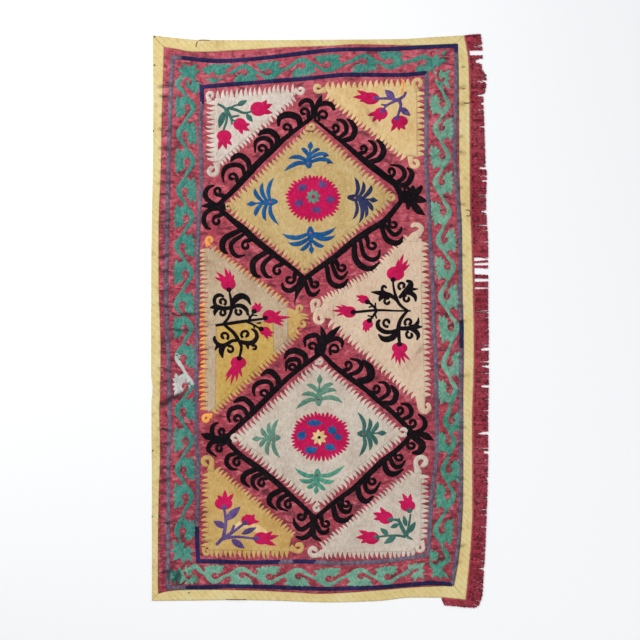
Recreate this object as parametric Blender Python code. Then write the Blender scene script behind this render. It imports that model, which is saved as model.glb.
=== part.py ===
"""Suzani: an embroidered cloth laid flat, with a plain sewn border round it and a yarn fringe down one side.

Metres, +Z up. The cloth lies face up on the XY plane with its long sides along Y. The origin is on the surface
that it lies on, under the middle of the whole piece, fringe included.
"""

import math

import bpy
import numpy as np

MM = 0.001

# Driving sizes
SEAM_GAP = 0.3 * MM  # between pieces that are sewn edge to edge
CLOTH_THICKNESS = 2.0 * MM  # satin with dense stitching on it
BORDER_THICKNESS = 1.8 * MM
CLOTH_COLUMNS, CLOTH_ROWS = 34, 92
BORDER_COLUMNS = 2
HEADER_WIDTH = 7.0 * MM  # the fringe's woven heading
HEADER_THICKNESS = 3.6 * MM
LOCKS = 252
LOCK_SHARE = 0.76  # of the pitch that a lock fills at its root
LOCK_SWAY, LOCK_BOW = 1.3, 0.6 * MM  # degrees that a lock strays from its neighbours, and its bend
LOCK_THICKNESS = 3.2 * MM
LOCK_TIP_THICKNESS = 2.2 * MM
NARROW_LOCK = 2.6 * MM  # half the least width of a lock beyond its root
SHORTEST_LOCK = 6.0 * MM  # a lock that would be shorter is missing
BOTTOM_RUN = 97.0 * MM  # how far the fringe goes on along the bottom edge
CORNER_LOCKS = 4  # these fan out from the corner
CORNER_RUN = 40.0 * MM  # what the corner counts as in the fringe's distances

# Where the cloth was cut and sewn. Each row is (along, across) in millimetres: y and x for a side, x and y for
# the top and bottom. Outer lines are the border's free edge, and inner lines are its seam with the cloth.
SIDES = {
    "outer_left": [(1140, -670), (882, -668), (642, -669), (282, -675), (-38, -676), (-214, -676),
                   (-270, -668), (-326, -675), (-718, -673), (-1121, -673)],
    "inner_left": [(1093, -624), (902, -630), (762, -634), (602, -637), (442, -644), (322, -646),
                   (122, -645), (-118, -638), (-278, -639), (-366, -643), (-518, -640), (-718, -646),
                   (-958, -649), (-1093, -648)],
    "inner_right": [(1106, 542), (1042, 551), (882, 555), (642, 556), (482, 560), (322, 565), (-6, 571),
                    (-118, 574), (-318, 572), (-718, 571), (-838, 565), (-958, 553), (-1060, 534)],
    "outer_right": [(1140, 576), (1042, 593), (882, 598), (482, 600), (322, 606), (82, 612), (-78, 615),
                    (-238, 613), (-398, 608), (-758, 609), (-878, 604), (-978, 596), (-1117, 582)],
}
ENDS = {
    "outer_top": [(-670, 1140), (-581, 1130), (-481, 1122), (-281, 1121), (119, 1123), (319, 1125),
                  (439, 1132), (576, 1140)],
    "inner_top": [(-624, 1093), (-573, 1085), (-517, 1075), (-457, 1074), (-353, 1080), (-253, 1085),
                  (-149, 1092), (39, 1098), (139, 1104), (275, 1102), (379, 1100), (542, 1106)],
    "inner_bottom": [(-648, -1093), (-609, -1083), (-521, -1076), (-261, -1080), (-97, -1088), (-1, -1093),
                     (99, -1089), (223, -1080), (379, -1067), (534, -1060)],
    "outer_bottom": [(-673, -1121), (-521, -1120), (-353, -1118), (-201, -1120), (39, -1127), (223, -1122),
                     (371, -1108), (479, -1108), (582, -1117)],
}

# Folds that stand up from the surface: middle x and y, length, width at the foot, height, in millimetres, and
# the direction in degrees from +X.
FOLDS = [
    (-597, -350, 120, 54, 8, 36),
    (-655, -268, 110, 90, 6, 4),
    (-622, -1010, 170, 56, 7, 68),
    (-560, -975, 150, 60, 5, 38),
    (-610, 1040, 90, 52, 5, -40),
    (-570, 990, 130, 52, 6, -52),
    (-590, 905, 90, 56, 5, -30),
    (188, 735, 150, 64, 8, -62),
    (255, 625, 130, 60, 7, -38),
    (150, 820, 90, 52, 4, -50),
    (-240, 350, 150, 64, 5, -40),
    (-215, 60, 120, 60, 4, 10),
    (60, 120, 150, 62, 5, 40),
    (-130, -160, 150, 60, 5, 44),
    (-300, -330, 120, 58, 5, 48),
    (215, -330, 150, 60, 5, -50),
    (95, -700, 140, 58, 5, 36),
    (-330, -760, 130, 60, 5, -44),
    (-430, 690, 110, 56, 4, 44),
    (430, 170, 110, 60, 4, 30),
    (430, -640, 110, 56, 4, 40),
]

# Rows of puckers where the stitching draws the satin in: x, first y, last y, length, width, height and pitch.
PUCKER_ROWS = [
    (-592, -880, 850, 96, 56, 4.5, 84),
    (478, -940, 960, 110, 56, 4.0, 92),
]
PUCKER_DRIFT = 9.0  # how far a pucker stands off its row's line, and its direction from level

# The fringe, by distance from its top end: distance and length in millimetres, and direction in degrees from +X.
FRINGE_LIE = [
    (0, 61, 12), (34, 59, 3), (138, 46, 0), (166, 64, 0), (210, 59, 0), (258, 49, 0), (400, 53, 0),
    (522, 57, 0), (558, 61, 0), (678, 57, 0), (818, 59, 0), (1058, 54, 0), (1238, 53, 0), (1458, 57, 0),
    (1618, 58, 0), (1778, 56, 0), (1938, 51, -2), (2098, 54, -6), (2158, 56, -12), (2218, 60, -19),
    (2256, 53, -25), (2276, 43, -39), (2296, 31, -55), (2394, 28, -66),
]
# Where locks are lost or worn short: distance, width in millimetres, and the share of the length that is left.
FRINGE_GAPS = [
    (46, 14, 0.4), (72, 20, 0.0), (106, 22, 0.45), (184, 15, 0.4), (242, 16, 0.5), (274, 10, 0.8),
    (532, 14, 0.5), (582, 10, 0.7), (640, 12, 0.45), (706, 14, 0.55), (897, 18, 0.0), (943, 26, 0.0),
    (981, 13, 0.0), (1257, 12, 0.4), (1324, 12, 0.5), (1405, 13, 0.45), (1594, 13, 0.3), (1668, 16, 0.7),
    (1777, 14, 0.85), (2127, 14, 0.65),
]


def smooth_line(rows, at):
    """The value at each place on a cubic curve through rows of (place, value) that never runs past a row."""
    place, value = np.array(sorted(rows), float).T
    rises = np.diff(value) / np.diff(place)
    before, after = rises[:-1], rises[1:]
    both = np.where(before * after > 0, 2 * before * after, 0.0)
    total = before + after
    inner = np.divide(both, total, out=np.zeros_like(both), where=both > 0)
    slope = np.concatenate([rises[:1], inner, rises[-1:]])
    i = np.clip(np.searchsorted(place, at) - 1, 0, len(place) - 2)
    step = place[i + 1] - place[i]
    t = (at - place[i]) / step
    rise = t * t * (3 - 2 * t)
    bend = t * (1 - t) * step * ((1 - t) * slope[i] - t * slope[i + 1])
    return value[i] * (1 - rise) + value[i + 1] * rise + bend


def seam_line(name, share, trim=0.0):
    """Points along a named line in metres, share running 0 to 1, upwards on a side and to the right on an end."""
    rows = SIDES.get(name) or ENDS[name]
    first, last = sorted((rows[0][0], rows[-1][0]))
    along = first + trim / MM + share * (last - first - 2 * trim / MM)
    across = smooth_line(rows, along)
    pair = (across, along) if name in SIDES else (along, across)
    return np.stack(pair, axis=-1) * MM


def lift_of(points):
    """How high the cloth's underside stands off the surface: the highest fold over each point, else 0."""
    x, y = points[..., 0] / MM, points[..., 1] / MM
    lift = np.zeros(x.shape)
    for fold_x, fold_y, length, width, height, degrees in FOLDS + puckers():
        turn = math.radians(degrees)
        dx, dy = x - fold_x, y - fold_y
        along = (dx * math.cos(turn) + dy * math.sin(turn)) / (length / 2)
        across = (dy * math.cos(turn) - dx * math.sin(turn)) / (width / 2)
        inside = np.clip(1 - along**2, 0, 1) * np.clip(1 - across**2, 0, 1)
        lift = np.maximum(lift, height * inside**1.5)
    return lift * MM


def puckers():
    """The pucker rows as folds, each a little off its place, its level and its height."""
    found = []
    for x, low, high, length, width, height, pitch in PUCKER_ROWS:
        for i, y in enumerate(np.arange(low, high, pitch)):
            sway = math.sin(2.4 * i)
            lean = math.sin(1.3 * i + 0.7)
            found.append((x + PUCKER_DRIFT * sway, y + PUCKER_DRIFT * lean, length, width,
                          height * (1 + 0.3 * sway), PUCKER_DRIFT * lean))
    return found


def cloth_material(name, colour, roughness):
    material = bpy.data.materials.new(name)
    material.use_nodes = True
    shader = material.node_tree.nodes["Principled BSDF"]
    shader.inputs["Base Color"].default_value = (*colour, 1.0)
    shader.inputs["Roughness"].default_value = roughness
    shader.inputs["Metallic"].default_value = 0.0
    return material


def add_object(name, vertices, faces, material):
    mesh = bpy.data.meshes.new(name)
    mesh.from_pydata([tuple(map(float, v)) for v in vertices], [], faces)
    mesh.materials.append(material)
    mesh.validate()
    bpy.context.scene.collection.objects.link(bpy.data.objects.new(name, mesh))


def add_sheet(name, points, thickness, material):
    """A closed sheet over a grid of XY points: a top and an underside that follow the folds, and four sides."""
    rows, columns = points.shape[:2]
    lift = lift_of(points)[..., None]
    below = np.concatenate([points, lift], axis=-1).reshape(-1, 3)
    above = np.concatenate([points, lift + thickness], axis=-1).reshape(-1, 3)
    top = len(below)
    faces = []
    for r in range(rows - 1):
        for c in range(columns - 1):
            a = r * columns + c
            d = a + columns
            faces.append((a, d, d + 1, a + 1))
            faces.append((top + a, top + a + 1, top + d + 1, top + d))
    rim = [c for c in range(columns - 1)]
    rim += [r * columns + columns - 1 for r in range(rows - 1)]
    rim += [(rows - 1) * columns + c for c in range(columns - 1, 0, -1)]
    rim += [r * columns for r in range(rows - 1, 0, -1)]
    for a, b in zip(rim, rim[1:] + rim[:1]):
        faces.append((a, b, top + b, top + a))
    add_object(name, np.concatenate([below, above]), faces, material)


def cloth_points():
    """A grid that fills the four inner seam lines, each row and column blended from the lines that it joins."""
    u = np.linspace(0, 1, CLOTH_COLUMNS + 1)
    v = np.linspace(0, 1, CLOTH_ROWS + 1)
    bottom, top = seam_line("inner_bottom", u), seam_line("inner_top", u)
    left, right = seam_line("inner_left", v), seam_line("inner_right", v)
    uu, vv = u[None, :, None], v[:, None, None]
    between_ends = (1 - vv) * bottom[None] + vv * top[None]
    between_sides = (1 - uu) * left[:, None] + uu * right[:, None]
    corners = ((1 - uu) * (1 - vv) * bottom[0] + uu * (1 - vv) * bottom[-1]
               + (1 - uu) * vv * top[0] + uu * vv * top[-1])
    grid = between_ends + between_sides - corners
    middle = grid.mean(axis=(0, 1))
    size = np.ptp(grid.reshape(-1, 2), axis=0)
    return middle + (grid - middle) * (1 - 2 * SEAM_GAP / size)


def border_points(side, count):
    """A grid across one border strip, from its seam to its free edge, with mitred ends."""
    along = np.linspace(0, 1, count + 1)
    seam = seam_line("inner_" + side, along, SEAM_GAP)
    free = seam_line("outer_" + side, along, SEAM_GAP)
    across = np.linspace(0, 1, BORDER_COLUMNS + 1)
    grid = seam[:, None] * (1 - across[None, :, None]) + free[:, None] * across[None, :, None]
    return grid[:, ::-1] if side in ("left", "bottom") else grid


def fringe_path():
    """The fringe's sewn edge: down the right side, round the corner and a little way along the bottom."""
    side = seam_line("outer_right", np.linspace(1, 0, CLOTH_ROWS + 1), SEAM_GAP)
    bottom = seam_line("outer_bottom", np.linspace(1, 0, CLOTH_COLUMNS + 1), SEAM_GAP)
    return side, bottom


def resample(points, distances):
    """Points at those distances along a line of points, with the line's direction there."""
    steps = np.linalg.norm(np.diff(points, axis=0), axis=1)
    run = np.concatenate([[0], steps.cumsum()])
    place = np.stack([np.interp(distances, run, points[:, k]) for k in (0, 1)], axis=-1)
    heading = np.stack([np.gradient(points[:, k], run) for k in (0, 1)], axis=-1)
    heading = np.stack([np.interp(distances, run, heading[:, k]) for k in (0, 1)], axis=-1)
    return place, heading / np.linalg.norm(heading, axis=1, keepdims=True)


def lock_roots():
    """Where locks are rooted: points on the sewn edge, the outward direction and the distance from the top.

    A lock has three stations, its two sides and its middle, so the arrays have a row for each lock and a
    column for each station.
    """
    side, bottom = fringe_path()
    side_run = np.linalg.norm(np.diff(side, axis=0), axis=1).sum()
    straight = LOCKS - CORNER_LOCKS
    on_side = round(straight * side_run / (side_run + BOTTOM_RUN))
    stations = np.array([-LOCK_SHARE / 2, 0, LOCK_SHARE / 2])
    places, outwards, distances = [], [], []
    for line, run, count, start in ((side, side_run, on_side, 0.0),
                                    (bottom, BOTTOM_RUN, straight - on_side, side_run + CORNER_RUN)):
        pitch = run / count
        at = (np.arange(count)[:, None] + 0.5 + stations) * pitch
        place, heading = resample(line, at.ravel())
        places.append(place.reshape(count, 3, 2))
        outwards.append(np.stack([-heading[:, 1], heading[:, 0]], axis=-1).reshape(count, 3, 2))
        distances.append(start + at[:, 1])
    turn = (np.arange(CORNER_LOCKS)[:, None] + 0.5 + stations) / CORNER_LOCKS
    first = math.atan2(*outwards[0][-1, -1][::-1])
    last = math.atan2(*outwards[1][0, 0][::-1])
    angle = first + (last - first) * turn
    places.insert(1, np.broadcast_to(side[-1], (CORNER_LOCKS, 3, 2)))
    outwards.insert(1, np.stack([np.cos(angle), np.sin(angle)], axis=-1))
    distances.insert(1, side_run + CORNER_RUN * turn[:, 1])
    return np.concatenate(places), np.concatenate(outwards), np.concatenate(distances)


def lock_length(distance):
    """A lock's length in metres at that distance from the fringe's top, with what is worn or lost taken off."""
    length = smooth_line([(at, long) for at, long, _ in FRINGE_LIE], distance / MM) * MM
    for middle, width, share in FRINGE_GAPS:
        if abs(distance / MM - middle) < width / 2:
            length *= share
    return length


def add_fringe(name, material):
    """The heading along the cloth's edge with its locks, each a four-sided strand with one bend, in one solid."""
    places, outwards, distances = lock_roots()
    count = len(places)
    back = places[:, 1] + outwards[:, 1] * SEAM_GAP
    front = places[:, ::2] + outwards[:, ::2] * HEADER_WIDTH
    vertices, faces = [], []

    def add(point, z):
        vertices.append((point[0], point[1], z))
        return len(vertices) - 1

    header = [[(add(p, 0.0), add(p, HEADER_THICKNESS)) for p in (back[i], *front[i])] for i in range(count)]
    for i in range(count):
        (c0, c1), (a0, a1), (b0, b1) = header[i]
        faces += [(c1, b1, a1), (c0, a0, b0)]
        lean = smooth_line([(at, turn) for at, _, turn in FRINGE_LIE], distances[i] / MM)
        length = lock_length(distances[i])
        root = (a0, b0, b1, a1)
        if length >= SHORTEST_LOCK:
            faces += lock_faces(add, front[i], root, lean + LOCK_SWAY * math.sin(2.1 * i), length, i)
        else:
            faces.append(root[::-1])
        if i + 1 < count:
            (d0, d1), (e0, e1), _ = header[i + 1]
            faces += [(c1, d1, e1, b1), (c0, b0, e0, d0), (b0, b1, e1, e0), (c0, d0, d1, c1)]
    (c0, c1), (a0, a1), _ = header[0]
    (d0, d1), _, (b0, b1) = header[-1]
    faces += [(c0, c1, a1, a0), (d0, b0, b1, d1)]
    add_object(name, vertices, faces, material)


def lock_faces(add, front, root, degrees, length, number):
    """The sides and tip of one lock, from its root's four corners out to its tip."""
    faces = []
    straight = np.array([math.cos(math.radians(degrees)), math.sin(math.radians(degrees))])
    sideways = np.array([-straight[1], straight[0]])
    middle = front.mean(axis=0)
    half = np.linalg.norm(front[0] - front[1]) / 2
    bow = LOCK_BOW * math.sin(1.7 * number)
    middle_half, tip_half = max(half, NARROW_LOCK), max(0.8 * half, NARROW_LOCK)
    for share, wide, thick in ((0.55, middle_half, LOCK_THICKNESS), (1.0, tip_half, LOCK_TIP_THICKNESS)):
        centre = middle + straight * length * share + sideways * bow * (1 if share < 1 else 0)
        a, b = centre + sideways * wide, centre - sideways * wide
        ring = (add(a, 0.0), add(b, 0.0), add(b, thick), add(a, thick))
        for k in range(4):
            faces.append((root[k], ring[k], ring[(k + 1) % 4], root[(k + 1) % 4]))
        root = ring
    faces.append(root[::-1])
    return faces


def main():
    for thing in list(bpy.data.objects):
        bpy.data.objects.remove(thing, do_unlink=True)
    satin = cloth_material("crimson satin", (0.45, 0.07, 0.11), 0.5)
    straw = cloth_material("straw cotton", (0.72, 0.58, 0.26), 0.8)
    yarn = cloth_material("crimson yarn", (0.32, 0.03, 0.06), 0.7)
    add_sheet("ground_cloth", cloth_points(), CLOTH_THICKNESS, satin)
    for side in ("left", "right"):
        add_sheet("border_" + side, border_points(side, CLOTH_ROWS), BORDER_THICKNESS, straw)
    for side in ("top", "bottom"):
        points = border_points(side, CLOTH_COLUMNS).transpose(1, 0, 2)
        add_sheet("border_" + side, points, BORDER_THICKNESS, straw)
    add_fringe("fringe", yarn)


main()
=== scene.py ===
import math
import bpy
import numpy as np
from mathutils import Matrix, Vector


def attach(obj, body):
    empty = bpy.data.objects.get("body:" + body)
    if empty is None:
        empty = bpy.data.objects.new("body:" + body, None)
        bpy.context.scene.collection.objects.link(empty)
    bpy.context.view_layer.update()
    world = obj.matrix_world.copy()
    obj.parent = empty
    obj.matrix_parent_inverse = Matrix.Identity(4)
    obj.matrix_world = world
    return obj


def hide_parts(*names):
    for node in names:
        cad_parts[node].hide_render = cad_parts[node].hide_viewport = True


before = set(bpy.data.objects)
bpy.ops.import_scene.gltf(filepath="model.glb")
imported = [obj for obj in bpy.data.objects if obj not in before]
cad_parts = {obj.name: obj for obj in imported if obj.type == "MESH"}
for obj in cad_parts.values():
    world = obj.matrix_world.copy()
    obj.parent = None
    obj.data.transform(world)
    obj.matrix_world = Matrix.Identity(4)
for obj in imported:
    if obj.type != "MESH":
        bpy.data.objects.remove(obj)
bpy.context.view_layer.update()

mm = 0.001
print("suzani: frame loaded")

# Places on the cloth are read off a drawing chart of 4 mm squares, x to the right and y down.
chart = {"square": 4.0 * mm, "middleX": 320.25, "middleY": 320.5}


def toCloth(points):
    # metres = ((x - middleX), (middleY - y)) * square
    points = np.asarray(points, float)
    return (points - (chart["middleX"], chart["middleY"])) * (chart["square"], -chart["square"])


def dye(red, green, blue):
    # a dyed colour, given as it looks in daylight from 0 to 255, turned into the light that it gives back
    shares = np.array([red, green, blue], float) / 255
    linear = np.where(shares <= 0.04045, shares / 12.92, ((shares + 0.055) / 1.055) ** 2.4)
    return (*linear.tolist(), 1.0)


# How the cloth was cut. Rows are (along, across) in millimetres: y and x for a side, x and y for an end.
clothCut = {
    "seamGap": 0.3 * mm,
    "clothThickness": 2.0 * mm,
    "borderThickness": 1.8 * mm,
    "sides": {
        "outer_left": [(1140, -670), (882, -668), (642, -669), (282, -675), (-38, -676), (-214, -676),
                       (-270, -668), (-326, -675), (-718, -673), (-1121, -673)],
        "inner_left": [(1093, -624), (902, -630), (762, -634), (602, -637), (442, -644), (322, -646),
                       (122, -645), (-118, -638), (-278, -639), (-366, -643), (-518, -640), (-718, -646),
                       (-958, -649), (-1093, -648)],
        "inner_right": [(1106, 542), (1042, 551), (882, 555), (642, 556), (482, 560), (322, 565), (-6, 571),
                        (-118, 574), (-318, 572), (-718, 571), (-838, 565), (-958, 553), (-1060, 534)],
        "outer_right": [(1140, 576), (1042, 593), (882, 598), (482, 600), (322, 606), (82, 612), (-78, 615),
                        (-238, 613), (-398, 608), (-758, 609), (-878, 604), (-978, 596), (-1117, 582)],
    },
    "ends": {
        "outer_top": [(-670, 1140), (-581, 1130), (-481, 1122), (-281, 1121), (119, 1123), (319, 1125),
                      (439, 1132), (576, 1140)],
        "inner_top": [(-624, 1093), (-573, 1085), (-517, 1075), (-457, 1074), (-353, 1080), (-253, 1085),
                      (-149, 1092), (39, 1098), (139, 1104), (275, 1102), (379, 1100), (542, 1106)],
        "inner_bottom": [(-648, -1093), (-609, -1083), (-521, -1076), (-261, -1080), (-97, -1088),
                         (-1, -1093), (99, -1089), (223, -1080), (379, -1067), (534, -1060)],
        "outer_bottom": [(-673, -1121), (-521, -1120), (-353, -1118), (-201, -1120), (39, -1127),
                         (223, -1122), (371, -1108), (479, -1108), (582, -1117)],
    },
}

# Folds: middle x and y, length, width at the foot and height in millimetres, and degrees from +X.
clothLie = {
    "folds": [
        (-597, -350, 120, 54, 8, 36), (-655, -268, 110, 90, 6, 4), (-622, -1010, 170, 56, 7, 68),
        (-560, -975, 150, 60, 5, 38), (-610, 1040, 90, 52, 5, -40), (-570, 990, 130, 52, 6, -52),
        (-590, 905, 90, 56, 5, -30), (188, 735, 150, 64, 8, -62), (255, 625, 130, 60, 7, -38),
        (150, 820, 90, 52, 4, -50), (-240, 350, 150, 64, 5, -40), (-215, 60, 120, 60, 4, 10),
        (60, 120, 150, 62, 5, 40), (-130, -160, 150, 60, 5, 44), (-300, -330, 120, 58, 5, 48),
        (215, -330, 150, 60, 5, -50), (95, -700, 140, 58, 5, 36), (-330, -760, 130, 60, 5, -44),
        (-430, 690, 110, 56, 4, 44), (430, 170, 110, 60, 4, 30), (430, -640, 110, 56, 4, 40),
    ],
    # rows of puckers where the stitching draws the satin in: x, low y, high y, length, width, height, pitch
    "puckerRows": [(-592, -880, 850, 96, 56, 4.5, 84), (478, -940, 960, 110, 56, 4.0, 92)],
    "puckerDrift": 9.0,
    "ridgeRise": 3.0,
    # finer gathers between the puckers: low x, high x, low y, high y, height and pitch in millimetres
    "gathers": [(-645, -520, -1060, 1040, 2.2, 37), (-470, -400, -1000, 1000, 1.0, 44),
                (420, 565, -1030, 1060, 1.9, 41)],
    "ripple": 0.5,  # how much the flat parts rise and fall, in millimetres
    "mapStep": 2.0,
}


def pairs(flat):
    # x, y, x, y ... as rows of (x, y)
    return np.asarray(flat, float).reshape(-1, 2)


def unit(lines):
    # each line's direction: v / |v|
    return lines / np.maximum(np.linalg.norm(lines, axis=-1, keepdims=True), 1e-9)


def smoothLine(rows, at):
    # a cubic between rows of (place, value): value = a(1 - s) + b s + t(1 - t) step ((1 - t) m0 - t m1),
    # with s = t^2 (3 - 2t), and slopes m that are harmonic means, so the line never runs past a row
    place, value = np.array(sorted(rows), float).T
    rises = np.diff(value) / np.diff(place)
    before, after = rises[:-1], rises[1:]
    both = np.where(before * after > 0, 2 * before * after, 0.0)
    inner = np.divide(both, before + after, out=np.zeros_like(both), where=both > 0)
    slope = np.concatenate([rises[:1], inner, rises[-1:]])
    i = np.clip(np.searchsorted(place, at) - 1, 0, len(place) - 2)
    step = place[i + 1] - place[i]
    t = (at - place[i]) / step
    s = t * t * (3 - 2 * t)
    swell = t * (1 - t) * step * ((1 - t) * slope[i] - t * slope[i + 1])
    return value[i] * (1 - s) + value[i + 1] * s + swell


def edgeLine(name, share, trim=0.0):
    # points along a cut edge in metres, for shares 0 to 1 of the way up a side or to the right along an end
    isSide = name in clothCut["sides"]
    rows = clothCut["sides" if isSide else "ends"][name]
    first, last = sorted((rows[0][0], rows[-1][0]))
    along = first + trim / mm + share * (last - first - 2 * trim / mm)
    across = smoothLine(rows, along)
    pair = (across, along) if isSide else (along, across)
    return np.stack(pair, axis=-1) * mm


# Soft hollows beside the folds, where shade is painted into the colour, in chart squares: x, y, length,
# width, strength 0 to 1 and degrees.
hollows = [
    (364.6, 133.8, 18, 8, 0.55, -40), (386, 161, 16, 8, 0.5, -38), (376, 378, 14, 7, 0.5, -40),
    (276.5, 366, 16, 8, 0.45, 40), (251.6, 255.6, 16, 9, 0.45, -35), (220, 228, 12, 8, 0.4, 60),
    (264.7, 491, 14, 8, 0.5, -40), (291, 514, 16, 8, 0.5, -38), (358, 505.5, 18, 9, 0.55, 42),
    (354, 495, 12, 7, 0.4, 42), (173, 398, 40, 7, 0.8, 27), (166, 404, 22, 5, 0.7, 30),
    (180, 314.5, 52, 4.5, 0.75, 2), (178, 330, 46, 4, 0.6, -4), (172, 539, 34, 4.5, 0.6, 6),
    (176, 578, 22, 5, 0.5, 60), (170, 572, 26, 4, 0.5, 66), (184, 566, 20, 4.5, 0.45, 40),
    (182, 66, 20, 5, 0.45, -48), (170, 84, 18, 5, 0.45, -30), (372, 118, 30, 7, 0.35, -58),
    (366, 152, 26, 7, 0.3, -58), (384, 174, 30, 7, 0.35, -38), (206, 156, 22, 5, 0.3, 70),
    (446, 118, 24, 4.5, 0.4, 8), (448, 168, 22, 4.5, 0.4, -6), (450, 226, 24, 4.5, 0.45, 5),
    (452, 282, 22, 4.5, 0.4, -8), (454, 348, 24, 4.5, 0.45, 6), (452, 404, 24, 4.5, 0.4, -5),
    (450, 455, 22, 4.5, 0.4, 8), (446, 512, 24, 4.5, 0.45, -6), (440, 560, 20, 5, 0.5, 30),
    (420, 350, 18, 6, 0.3, 50), (430, 200, 18, 5, 0.3, 60), (335, 345, 22, 6, 0.3, -20),
    (300, 345, 18, 6, 0.35, 30), (240, 400, 22, 6, 0.3, 40), (244, 480, 20, 6, 0.3, -40),
    (396, 480, 22, 6, 0.35, 45), (340, 285, 22, 6, 0.3, 38), (272, 140, 20, 6, 0.25, 42),
]
# Short level creases down the outer bands, where shade is painted like the hollows, by where they lie down
# the chart: x of the middle, length, width, strength and the list of y.
creaseBands = [
    (164.5, 16, 5.2, 0.7, [86.5, 97, 115, 130, 149, 160, 173, 183, 195, 212, 221, 227.5, 235, 256, 271, 280,
                            291, 306, 342, 352, 370, 382, 391, 430, 445, 457, 468, 480, 493, 505, 523, 548,
                            559, 571]),
    (206, 13, 4.4, 0.36, [118, 141, 168, 196, 224, 262, 286, 322, 348, 371, 402, 428, 454, 486, 512, 540]),
    (459.5, 12, 4.6, 0.5, [88, 104, 121, 137, 152, 171, 188, 204, 221, 239, 255, 272, 291, 306, 322, 341, 357,
                          376, 392, 409, 427, 444, 462, 478, 495, 511, 528, 546, 562]),
    (431, 12, 4.4, 0.36, [96, 130, 158, 190, 216, 248, 278, 318, 346, 380, 412, 446, 474, 502, 530]),
]


def allHollows():
    # the rows of both tables in millimetres; creases sway by sines of their place
    found = list(hollows)
    for x, length, width, strength, places in creaseBands:
        for i, y in enumerate(places):
            sway = math.sin(1.9 * i + x)
            found.append((x + 1.2 * sway, y, length * (1 + 0.35 * sway), width,
                          strength * (0.85 + 0.15 * sway),
                          17 * math.sin(2.3 * i + 0.4 * x)))
    square = chart["square"] / mm
    scaled = []
    for x, y, length, width, strength, degrees in found:
        middle = toCloth((x, y)) / mm
        scaled.append((middle[0], middle[1], square * length, square * width, strength, degrees))
    return scaled


def hollowRidges():
    # a soft ridge along the far side of every hollow: middle + 0.7 width sideways, ridgeRise high at most
    ridges = []
    for x, y, length, width, strength, degrees in allHollows():
        turn = math.radians(degrees)
        aside = 0.7 * width
        ridges.append((x - aside * math.sin(turn), y + aside * math.cos(turn), length, 1.1 * width,
                       clothLie["ridgeRise"] * strength, degrees))
    return ridges


def allFolds():
    # the placed folds and the pucker rows, each pucker swayed by sines of its number
    found = clothLie["folds"] + hollowRidges()
    drift = clothLie["puckerDrift"]
    for x, low, high, length, width, height, pitch in clothLie["puckerRows"]:
        for i, y in enumerate(np.arange(low, high, pitch)):
            sway = math.sin(2.4 * i)
            lean = math.sin(1.3 * i + 0.7)
            found.append((x + drift * sway, y + drift * lean, length, width,
                          height * (1 + 0.3 * sway), drift * lean))
    return found


def foldShape(x, y, fold):
    # height ((1 - along^2)(1 - across^2))^1.5 in the fold's own turned axes
    foldX, foldY, length, width, height, degrees = fold
    turn = math.radians(degrees)
    dx = x - foldX
    dy = y - foldY
    along = (dx * math.cos(turn) + dy * math.sin(turn)) / (length / 2)
    across = (dy * math.cos(turn) - dx * math.sin(turn)) / (width / 2)
    inside = np.clip(1 - along**2, 0, 1) * np.clip(1 - across**2, 0, 1)
    return height * inside**1.5


def softStep(low, high, value):
    # t^2 (3 - 2t), t running 0 to 1 from low to high
    t = np.clip((value - low) / (high - low), 0, 1)
    return t * t * (3 - 2 * t)


# A lie map holds millimetres of height, or a share of shade, at every 2 mm of the cloth.
step = clothLie["mapStep"]
mapX = np.arange(-720, 721, step)
mapY = np.arange(-1180, 1181, step)
gridX, gridY = np.meshgrid(mapX, mapY)


def addFolds(lieMap, folds):
    # the highest fold wins at each point, worked out only in the window that the fold covers
    for fold in folds:
        reach = max(fold[2], fold[3]) / 2
        columns = slice(*np.searchsorted(mapX, (fold[0] - reach, fold[0] + reach)))
        rows = slice(*np.searchsorted(mapY, (fold[1] - reach, fold[1] + reach)))
        shape = foldShape(gridX[rows, columns], gridY[rows, columns], fold)
        lieMap[rows, columns] = np.maximum(lieMap[rows, columns], shape)
    return lieMap


def makeLiftMap():
    # folds + gathers h (0.5 + 0.5 sin)^2 inside their bands + a slow ripple of three crossing sines
    lift = addFolds(np.zeros(gridX.shape), allFolds())
    for low, high, bottom, top, height, pitch in clothLie["gathers"]:
        band = softStep(low, low + 30, gridX) * softStep(high, high - 30, gridX)
        band = band * softStep(bottom, bottom + 60, gridY) * softStep(top, top - 60, gridY)
        wander = 0.9 * np.sin(gridX / 31 + gridY / 83) + 1.7 * np.sin(gridY / 197 + low)
        wave = 0.5 + 0.5 * np.sin(2 * math.pi * gridY / pitch + wander)
        strength = 0.55 + 0.45 * np.sin(gridY / 71 + gridX / 47)
        lift = lift + height * band * strength * wave**2
    slow = np.sin(gridX / 37 + gridY / 61) + np.sin(gridX / 53 - gridY / 41 + 1)
    slow = slow + np.sin(gridY / 29 - gridX / 90 + 2)
    return lift + clothLie["ripple"] * (slow + 3) / 6


def sampleMap(lieMap, points):
    # the map's value at any points in metres, blended from the four map places round each
    x = (points[..., 0] / mm - mapX[0]) / step
    y = (points[..., 1] / mm - mapY[0]) / step
    i = np.clip(np.floor(x).astype(int), 0, len(mapX) - 2)
    j = np.clip(np.floor(y).astype(int), 0, len(mapY) - 2)
    u = x - i
    v = y - j
    low = lieMap[j, i] * (1 - u) + lieMap[j, i + 1] * u
    high = lieMap[j + 1, i] * (1 - u) + lieMap[j + 1, i + 1] * u
    return low * (1 - v) + high * v


liftMap = makeLiftMap()


def clothLift(points):
    # metres that the cloth's underside stands off the floor
    return sampleMap(liftMap, points) * mm


def makeHollowMap():
    # the strongest hollow at each point, 0 to 1: the share of shade that is painted there
    return addFolds(np.zeros(gridX.shape), allHollows())


hollowMap = makeHollowMap()
print("suzani: lie of the cloth worked out")


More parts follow.
